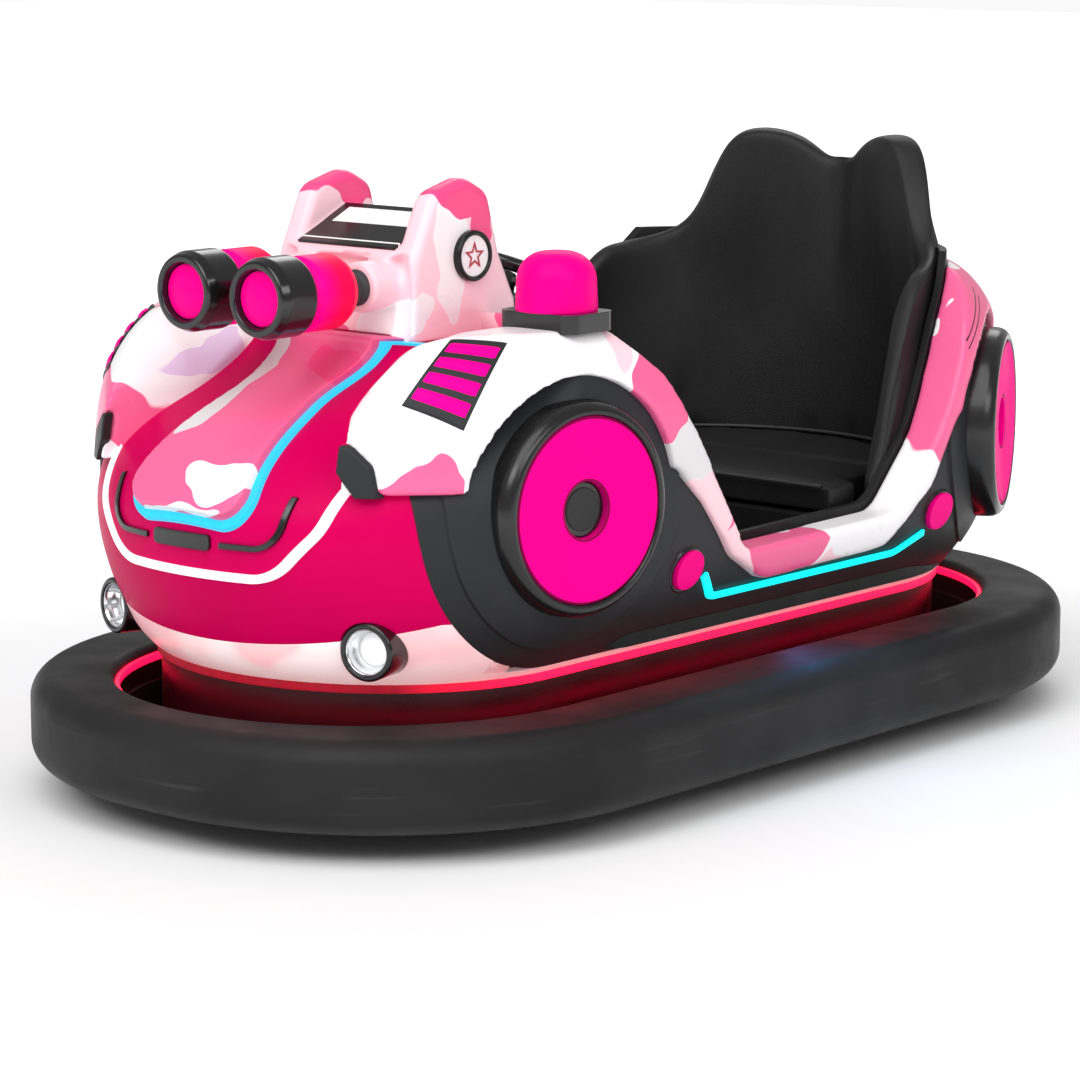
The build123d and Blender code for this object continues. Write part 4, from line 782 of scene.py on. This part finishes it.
# %% Seat back, drawn
BACK_CENTRE_Y = 0.415
BACK_HALF_W, BACK_AXIS = 0.402, 0.374
ARM_LENGTH = 0.085
BACK_FOOT = 0.398
BACK_THICK = 0.046
BACK_COLUMNS, BACK_ROWS, TOP_ROWS = 120, 34, 8
# distance from the middle plane, height of the top edge
TOP_ACROSS = (
    (0.000, 0.970), (0.030, 0.977), (0.060, 0.997), (0.100, 1.014), (0.155, 1.023), (0.200, 1.019),
    (0.232, 0.998), (0.254, 0.956), (0.272, 0.904), (0.290, 0.862), (0.306, 0.840), (0.334, 0.824),
    (0.369, 0.811), (0.380, 0.804),
)
# y along the arm, height of the top edge
TOP_ALONG = (
    (0.330, 0.440), (0.360, 0.500), (0.395, 0.600), (0.425, 0.694), (0.465, 0.766), (0.520, 0.804),
)
LOBE_X, LOBE_REACH, LOBE_SWELL = 0.165, 0.085, 0.020
VALLEY_REACH, VALLEY_DEPTH = 0.035, 0.014
SWELL_FROM, SWELL_TO = 0.62, 0.92
OUTER_SHARE = 0.5
END_SHARE, END_COLUMNS = 0.55, 4
TOP_PASSES = 3


def between(table, value):
    """Value read from a table of pairs, straight between its entries."""
    if value <= table[0][0]:
        return table[0][1]
    for (a, at_a), (b, at_b) in zip(table, table[1:]):
        if value <= b:
            return at_a + (at_b - at_a) * (value - a) / (b - a)
    return table[-1][1]


def ease(value, low, high):
    share = min(max((value - low) / (high - low), 0.0), 1.0)
    return share * share * (3 - 2 * share)


def back_plan(share):
    """Point and outward direction of the back's outer face, from the left arm to the right."""
    bend = pi * (BACK_HALF_W + BACK_AXIS) / 2
    way = share * (bend + 2 * ARM_LENGTH) - ARM_LENGTH
    if way < 0:
        return Vector((BACK_HALF_W, BACK_CENTRE_Y + way, 0)), Vector((1, 0, 0))
    if way > bend:
        return Vector((-BACK_HALF_W, BACK_CENTRE_Y - (way - bend), 0)), Vector((-1, 0, 0))
    angle = pi * way / bend
    point = Vector((BACK_HALF_W * cos(angle), BACK_CENTRE_Y + BACK_AXIS * sin(angle), 0))
    out = Vector((cos(angle) / BACK_HALF_W, sin(angle) / BACK_AXIS, 0)).normalized()
    return point, out


plan = [back_plan(column / (BACK_COLUMNS - 1)) for column in range(BACK_COLUMNS)]
tops = []
for point, _ in plan:
    across = between(TOP_ACROSS, abs(point.x))
    tops.append(across if point.y > TOP_ALONG[-1][0] else between(TOP_ALONG, point.y))
for _ in range(TOP_PASSES):
    inner = [(a + 2 * b + c) / 4 for a, b, c in zip(tops, tops[1:], tops[2:])]
    tops = [tops[0], *inner, tops[-1]]

ring_points = 2 * BACK_ROWS + TOP_ROWS
back_points, sewn_back = [], []
for column, ((outer, out), top) in enumerate(zip(plan, tops)):
    ends = min(column, BACK_COLUMNS - 1 - column)
    thick = BACK_THICK * (END_SHARE + (1 - END_SHARE) * ease(ends, -1, END_COLUMNS))
    middle = outer - out * BACK_THICK / 2
    behind = middle.y > BACK_CENTRE_Y
    lobe = behind * exp(-(((abs(middle.x) - LOBE_X) / LOBE_REACH) ** 2))
    valley = behind * exp(-((middle.x / VALLEY_REACH) ** 2))
    crown = top - thick / 2
    for row in range(ring_points):
        if row < BACK_ROWS:
            height = BACK_FOOT + (crown - BACK_FOOT) * row / (BACK_ROWS - 1)
            aside = -thick / 2
        elif row < BACK_ROWS + TOP_ROWS:
            angle = pi * (row - BACK_ROWS + 1) / (TOP_ROWS + 1)
            height = crown + thick / 2 * sin(angle)
            aside = -thick / 2 * cos(angle)
        else:
            height = crown - (crown - BACK_FOOT) * (row - BACK_ROWS - TOP_ROWS) / (BACK_ROWS - 1)
            aside = thick / 2
        high = ease(height, SWELL_FROM, SWELL_TO)
        if aside < 0:
            aside -= LOBE_SWELL * lobe * high - VALLEY_DEPTH * valley * high
        else:
            aside += OUTER_SHARE * LOBE_SWELL * lobe * high
        back_points.append(middle + out * aside + Vector((0, 0, height)))
        if row in (0, ring_points - 1):
            sewn_back.append(len(back_points) - 1)
back_faces = wrapped(0, BACK_COLUMNS, ring_points)
for column in (0, BACK_COLUMNS - 1):
    start = column * ring_points
    half_ring = ring_points // 2
    for row in range(half_ring - 1):
        far = start + ring_points - 1 - row
        cap = (start + row, far, far - 1, start + row + 1)
        back_faces.append(cap if column == 0 else cap[::-1])
print("seat back faces:", len(back_faces), "top:", round(max(tops), 3))

# %% [markdown]
# Both pads are blown up as cloth over a slightly smaller core, as foam fills a sewn cover. Points
# on a sewn line stay where they are, so the cover dips there. A cap keeps the swelling inside
# the room that the seat has. Stiff cloth gives the smooth, tight leather of the real seat.

# %% Seat, blown up
SEAT_CAP = 0.009
SEAT_FRAMES = 16
PRESSURE, STIFFNESS, BENDING = 4.0, 30.0, 12.0
CORE_SHRINK = 0.006
CUSHION_VOXEL, CUSHION_SMOOTHING = 0.008, 8
CUSHION_SEAM_Y = 0.47
SEAM_HALF = 0.004
FRONT_WIDER, FRONT_FROM, FRONT_TO = 0.040, 0.300, 0.345
SIDE_FROM, SIDE_TO = 0.24, 0.34


def blow_up(piece, sewn):
    """Cloth with pressure inside; sewn points stay and no point moves more than the cap."""
    scene = bpy.context.scene
    rest = [vertex.co.copy() for vertex in piece.data.vertices]
    group = piece.vertex_groups.new(name="sewn")
    group.add(sewn, 1.0, "REPLACE")
    cloth = piece.modifiers.new("cloth", "CLOTH")
    cloth.settings.quality = 6
    cloth.settings.tension_stiffness = STIFFNESS
    cloth.settings.compression_stiffness = STIFFNESS
    cloth.settings.bending_stiffness = BENDING
    cloth.settings.use_pressure = True
    cloth.settings.uniform_pressure_force = PRESSURE
    cloth.settings.vertex_group_mass = "sewn"
    cloth.settings.effector_weights.gravity = 0.0
    for number in range(1, SEAT_FRAMES + 1):
        scene.frame_set(number)
    graph = bpy.context.evaluated_depsgraph_get()
    swollen = [vertex.co.copy() for vertex in piece.evaluated_get(graph).data.vertices]
    piece.modifiers.clear()
    piece.vertex_groups.clear()
    scene.frame_set(1)
    for vertex, start, end in zip(piece.data.vertices, rest, swollen):
        move = end - start
        if move.length > SEAT_CAP:
            move.length = SEAT_CAP
        vertex.co = start + move


def upholster(pad, source, sewn):
    """Shrinks one pad, blows it up, rounds it and puts it in place of a soft CAD node."""
    for vertex, normal in [(v, v.normal.copy()) for v in pad.data.vertices]:
        vertex.co -= normal * CORE_SHRINK
    blow_up(pad, sewn)
    smooth = pad.modifiers.new("smooth", "SMOOTH")
    smooth.iterations = 3
    rounder = pad.modifiers.new("rounder", "SUBSURF")
    rounder.levels = 1
    work_in(pad)
    finish_piece(pad, leather)
    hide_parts(source)
    print(pad.name, "faces:", len(pad.data.polygons), "sewn points:", len(sewn))


seat_back = new_piece("seat_back_pad", back_points, back_faces, leather, "seat_leather")
upholster(seat_back, "seat_back", sewn_back)
seat_cushion = copy_of("seat_cushion_pad", ["seat_cushion"])
skin_over(seat_cushion, CUSHION_VOXEL, CUSHION_SMOOTHING)
for vertex in seat_cushion.data.vertices:
    x, y, _ = vertex.co
    share = (1 - ease(y, FRONT_FROM, FRONT_TO)) * ease(abs(x), SIDE_FROM, SIDE_TO)
    vertex.co.x += copysign(FRONT_WIDER * share, x)
sewn_cushion = [v.index for v in seat_cushion.data.vertices
                if abs(v.co.y - CUSHION_SEAM_Y) < SEAM_HALF or abs(v.co.x) < SEAM_HALF]
upholster(seat_cushion, "seat_cushion", sewn_cushion)

# %% [markdown]
# Piping covers the seams of the seat: one line where the back meets the cushion and one along
# the cushion's front edge. The foot well has a ribbed rubber mat.

# %% Piping and mat
PIPE_R, PIPE_STEPS = 0.0035, 10
PIPE_Z, PIPE_OUT = 0.447, 0.006
FRONT_HALF, FRONT_Y, FRONT_STEPS = 0.372, 0.219, 40
MAT_HALF, MAT_FROM, MAT_TO, MAT_Z, MAT_T = 0.33, -0.335, 0.190, 0.2765, 0.004
RIB_PITCH, RIB_START = 0.022, 0.25
# outline of a rib: y and rise
RIB = ((0.0, 0.0), (0.003, 0.003), (0.009, 0.003), (0.012, 0.0))


def tube(name, path, radius, finish, slot_name):
    """Round tube along a path of points, open at both ends."""
    points = []
    for number, here in enumerate(path):
        along = (path[min(number + 1, len(path) - 1)] - path[max(number - 1, 0)]).normalized()
        side = along.cross(Vector((0, 0, 1))).normalized()
        up = side.cross(along)
        for step in range(PIPE_STEPS):
            angle = 2 * pi * step / PIPE_STEPS
            points.append(here + side * radius * cos(angle) + up * radius * sin(angle))
    return new_piece(name, points, wrapped(0, len(path), PIPE_STEPS), finish, slot_name)


inner_line = [point - out * (BACK_THICK + PIPE_OUT) + Vector((0, 0, PIPE_Z))
              for point, out in plan[4:-4]]
tube("seat_piping_back", inner_line, PIPE_R, piping_vinyl, "seat_leather")
front_line = [Vector((-FRONT_HALF + 2 * FRONT_HALF * step / FRONT_STEPS, FRONT_Y, PIPE_Z))
              for step in range(FRONT_STEPS + 1)]
tube("seat_piping_front", front_line, PIPE_R, piping_vinyl, "seat_leather")


def drawn_out(profile, spans):
    """Profile of (y, z) drawn out along x over each span, closed at both ends."""
    points, faces = [], []
    count = len(profile)
    for x_from, x_to in spans:
        first = len(points)
        points += [(x, y, z) for x in (x_from, x_to) for y, z in profile]
        for a in range(count):
            b = (a + 1) % count
            faces.append((first + a, first + b, first + b + count, first + a + count))
        faces.append(tuple(range(first, first + count))[::-1])
        faces.append(tuple(range(first + count, first + 2 * count)))
    return points, faces


ribs = int((MAT_TO - MAT_FROM) / RIB_PITCH)
profile = [(MAT_FROM, MAT_Z), (MAT_FROM, MAT_Z + MAT_T)]
for rib in range(ribs):
    y = MAT_FROM + (rib + RIB_START) * RIB_PITCH
    profile += [(y + run, MAT_Z + MAT_T + rise) for run, rise in RIB]
profile += [(MAT_TO, MAT_Z + MAT_T), (MAT_TO, MAT_Z)]
mat_shape = drawn_out(profile, [(-MAT_HALF, MAT_HALF)])
new_piece("floor_mat", *mat_shape, rubber_mat, "tub_black", smooth=False)
print("mat ribs:", ribs)

# %% [markdown]
# Two thin pieces finish the shell where the blocks end too soon. A lip with a rolled top covers
# the tub's front edge beside the turret. The pale band runs on under the side panels, a little
# inside their faces, as a curved sheet.

# %% Cowl lips and band ends
LIP_PROFILE = (
    (-0.408, 0.735), (-0.408, 0.779), (-0.4055, 0.785), (-0.401, 0.7875), (-0.395, 0.7865),
    (-0.392, 0.782), (-0.392, 0.735),
)
LIP_FROM, LIP_TO = 0.125, 0.300
BAND_Y, BAND_Z, BAND_T = (-0.665, -0.642, -0.619, -0.596), (0.2565, 0.290), 0.002
# the band's place where the panels begin, then its slope, bend and flare from there on
END_X, END_Y, END_Z = 0.371, -0.653, 0.286
BAND_SLOPE, BAND_BEND, BAND_FLARE = 0.46, 1.2, 0.78

lip_shape = drawn_out(LIP_PROFILE, [(LIP_FROM, LIP_TO), (-LIP_TO, -LIP_FROM)])
new_piece("cowl_lips", *lip_shape, camo, "camo")
band_points, band_faces = [], []
for side in (1, -1):
    first = len(band_points)
    for y in BAND_Y:
        for z in BAND_Z:
            back, up = y - END_Y, z - END_Z
            x = END_X + BAND_SLOPE * back - BAND_BEND * back**2 + BAND_FLARE * up
            band_points.append((side * x, y, z))
    for column in range(len(BAND_Y) - 1):
        a = first + 2 * column
        band_faces.append((a, a + 2, a + 3, a + 1) if side == 1 else (a, a + 1, a + 3, a + 2))
band_ends = new_piece("band_ends", band_points, band_faces, pale_band, "pale_pink")
solid = band_ends.modifiers.new("solid", "SOLIDIFY")
solid.thickness = BAND_T
work_in(band_ends)
print("band ends faces:", len(band_ends.data.polygons))

# %% [markdown]
# Turned pieces: the cap and the round tyre of each dummy wheel, the cannon barrels, the ring
# round each side lamp and the silver bowl in each head lamp. Each is a profile that is turned
# about an axis, as on a lathe.

# %% Turned pieces
TURN_STEPS = 64


def turned_mesh(profile, places):
    """Profile of (radius, height) turned about the z axis of each place."""
    points, faces = [], []
    for place in places:
        first = len(points)
        for radius, height in profile:
            for step in range(TURN_STEPS):
                angle = 2 * pi * step / TURN_STEPS
                x, y = radius * cos(angle), radius * sin(angle)
                points.append(place @ Vector((x, y, height)))
        faces += wrapped(first, len(profile), TURN_STEPS)
    return points, faces


def facing(side, place, out):
    """Matrix at a place whose z axis points out, on the left side (1) or mirrored (-1)."""
    (x, y, z), (out_x, out_y, out_z) = place, out
    turn = Vector((side * out_x, out_y, out_z)).to_track_quat("Z", "Y").to_matrix().to_4x4()
    return Matrix.Translation((side * x, y, z)) @ turn


HUB_X = (0.456, 0.414)
HUB_CAP = (
    (0.0, 0.0092), (0.0300, 0.0092), (0.0330, 0.0100), (0.0345, 0.0096), (0.0350, 0.0070),
)
TYRE = (
    (0.1700, -0.0215), (0.1702, 0.0020), (0.1690, 0.0110), (0.1655, 0.0190), (0.1600, 0.0245),
    (0.1545, 0.0265), (0.1500, 0.0262), (0.1478, 0.0235), (0.1474, 0.0080),
)
BARREL_R, NECK_R = 0.029, 0.027
BARREL = (
    (0.0, -0.002), (BARREL_R, -0.002), (BARREL_R, 0.030), (NECK_R, 0.030),
    (NECK_R, 0.034), (BARREL_R, 0.034), (BARREL_R, 0.058), (0.0, 0.058),
)
BARREL_PLACE = (0.081, -0.670, 0.839)
LAMP_RING = (
    (0.0335, -0.003), (0.0335, 0.0045), (0.0350, 0.0058), (0.0385, 0.0052), (0.0415, 0.0020),
    (0.0420, -0.003),
)
SIDE_LAMPS = ((0.4515, -0.256, 0.381), (0.4515, 0.441, 0.387))
SIDE_LAMP_TILT = radians(18)
BOWL = (
    (0.0355, 0.0270), (0.0345, 0.0268), (0.0338, 0.0200), (0.0310, 0.0110), (0.0265, 0.0050),
    (0.0262, 0.0020),
)
BOWL_PLACE, BOWL_TURN = (0.276, -0.792, 0.311), radians(14)

hub_places, bowl_places, ring_places, barrel_places = [], [], [], []
for side in (1, -1):
    barrel_places.append(facing(side, BARREL_PLACE, (0, 1, 0)))
    for place in SIDE_LAMPS:
        out = (cos(SIDE_LAMP_TILT), 0, -sin(SIDE_LAMP_TILT))
        ring_places.append(facing(side, place, out))
    for x, (_, y, turn) in zip(HUB_X, WHEELS):
        angle = radians(turn)
        hub_places.append(facing(side, (x, y, WHEEL_Z), (cos(angle), sin(angle), 0)))
    bowl_places.append(facing(side, BOWL_PLACE, (sin(BOWL_TURN), -cos(BOWL_TURN), 0)))
new_piece("hub_caps", *turned_mesh(HUB_CAP, hub_places), hub_grey, "dark_grey")
tyres = new_piece("dummy_tyres", *turned_mesh(TYRE, hub_places), tyre_gloss, "black_gloss")
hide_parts("wheel_tyres")
barrels = new_piece("barrels", *turned_mesh(BARREL, barrel_places), dark_grey, "dark_grey")
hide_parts("cannon_barrels")
new_piece("side_lamp_rings", *turned_mesh(LAMP_RING, ring_places), gloss_black, "black_gloss")
new_piece("lamp_bowls", *turned_mesh(BOWL, bowl_places), silver, "lens_glass")
print("hubs:", len(hub_places), "side lamp rings:", len(ring_places))

# %% [markdown]
# The louvres lie on the curved fender. A leaning grid is laid over it, and each grid point drops
# onto the moulding along the direction that the louvres face. Slats and frame are strips of that
# grid, raised by a small profile. The right side is mirrored from the left.

# %% Louvres
# corners of the field: top left, top right, bottom left, bottom right, as seen from outside
FIELD = (Vector((0.334, -0.677, 0.779)), Vector((0.390, -0.626, 0.772)),
         Vector((0.331, -0.773, 0.695)), Vector((0.397, -0.724, 0.664)))
FIELD_STEPS = 14
EDGE_DROP, RAY_FROM = 0.0016, 0.05
SLAT_COUNT, SLAT_START = 4, 0.10
SLAT_PROFILE = ((0.00, 0.0006), (0.05, 0.0040), (0.32, 0.0052), (0.62, 0.0040), (0.70, 0.0008))
PLATE_ROWS, PLATE_BORDER = 24, 0.07
PLATE_PROFILE = ((-0.06, -0.001), (-0.055, 0.0022), (-0.03, 0.0030),
                 *[(row / PLATE_ROWS, 0.0018) for row in range(PLATE_ROWS + 1)],
                 (1.03, 0.0030), (1.055, 0.0022), (1.06, -0.001))

body_tree = BVHTree.FromObject(left_skin, bpy.context.evaluated_depsgraph_get())


def on_fender(u, v, rise):
    """Point of the field at (u, v), from its top left corner, raised off the moulding."""
    top = FIELD[0].lerp(FIELD[1], u)
    bottom = FIELD[2].lerp(FIELD[3], u)
    start = top.lerp(bottom, v) + LOUVRE_OUT * RAY_FROM
    hit = body_tree.ray_cast(start, -LOUVRE_OUT)[0]
    return (hit or start - LOUVRE_OUT * RAY_FROM) + LOUVRE_OUT * rise


def strip(u_from, u_to, rows):
    """Both sides' faces of one strip; rows are pairs of v and rise."""
    points, faces = [], []
    for side in (1, -1):
        first = len(points)
        for v, rise in rows:
            for step in range(FIELD_STEPS + 1):
                share = step / FIELD_STEPS
                drop = EDGE_DROP if step in (0, FIELD_STEPS) else 0.0
                point = on_fender(u_from + (u_to - u_from) * share, v, rise - drop)
                points.append(Vector((side * point.x, point.y, point.z)))
        for row in range(len(rows) - 1):
            for step in range(FIELD_STEPS):
                a = first + row * (FIELD_STEPS + 1) + step
                face = (a, a + FIELD_STEPS + 1, a + FIELD_STEPS + 2, a + 1)
                faces.append(face if side == 1 else face[::-1])
    return points, faces


plate_shape = strip(-PLATE_BORDER, 1 + PLATE_BORDER, PLATE_PROFILE)
louvre_plate = new_piece("louvre_plates", *plate_shape, panel_black, "black_gloss")
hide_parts("louvres")
slat_points, slat_faces = [], []
for slat in range(SLAT_COUNT):
    rows = [((slat + SLAT_START + place) / SLAT_COUNT, rise) for place, rise in SLAT_PROFILE]
    points, faces = strip(0, 1, rows)
    base = len(slat_points)
    slat_points += points
    slat_faces += [tuple(base + index for index in face) for face in faces]
slats = new_piece("louvre_blades", slat_points, slat_faces, magenta, "magenta")
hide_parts("louvre_slats")
print("slats on each side:", SLAT_COUNT)

# %% [markdown]
# The star on each side plate is an outline in red enamel, a little raised. Ten corners, by turns
# far out and near in, draw it. A second ring of corners leaves its middle open, so that the white
# plate shows there.

# %% Stars
STAR_R, STAR_IN, STAR_LINE = 0.0235, 0.42, 0.66
STAR_FACE, STAR_T = 0.1604, 0.0008
CORNERS = 10

star_points, star_faces = [], []
for side in (1, -1):
    first = len(star_points)
    for depth in (0.0, STAR_T):
        for share in (1.0, STAR_LINE):
            for tip in range(CORNERS):
                reach = STAR_R * share * (1.0 if tip % 2 == 0 else STAR_IN)
                angle = pi / 2 + 2 * pi * tip / CORNERS
                star_points.append((side * (STAR_FACE + depth), STAR_Y + reach * cos(angle),
                                    STAR_Z + reach * sin(angle)))
    low_out, low_in, top_out, top_in = (first + CORNERS * ring for ring in range(4))
    for tip in range(CORNERS):
        after = (tip + 1) % CORNERS
        for a, b in ((top_out, top_in), (low_out, top_out), (low_in, top_in)):
            star_faces.append((a + tip, a + after, b + after, b + tip))
new_piece("side_stars", star_points, star_faces, star_red, "star_white", smooth=False)
print("star faces:", len(star_faces))

# %% [markdown]
# The floor is a large sheet of matt white paint. Some way from the car it begins to glow, so it
# fades into the paper behind and no horizon shows. It belongs to the stage and not to the car.

# %% Floor
FLOOR_NEAR, FLOOR_FAR, FLOOR_GLOW = 1.3, 4.0, 0.5

half = FLOOR_SIZE / 2
floor_mesh = bpy.data.meshes.new("floor")
floor_corners = [(-half, -half, 0), (half, -half, 0), (half, half, 0), (-half, half, 0)]
floor_mesh.from_pydata(floor_corners, [], [(0, 1, 2, 3)])
floor = show("floor", floor_mesh)
floor_finish = Finish("floor_paint", (0.93, 0.93, 0.93), 0.8, 0.0)
floor_finish.rough(0.7, 0.9)
across, along, _ = floor_finish.axes()
from_car = floor_finish.hypot(across, along)
glow = floor_finish.span(from_car, FLOOR_NEAR, FLOOR_FAR, 0.0, FLOOR_GLOW)
floor_finish.glow((1.0, 1.0, 1.0), glow)
floor.data.materials.append(floor_finish.material)
print("floor:", FLOOR_SIZE, "m wide")
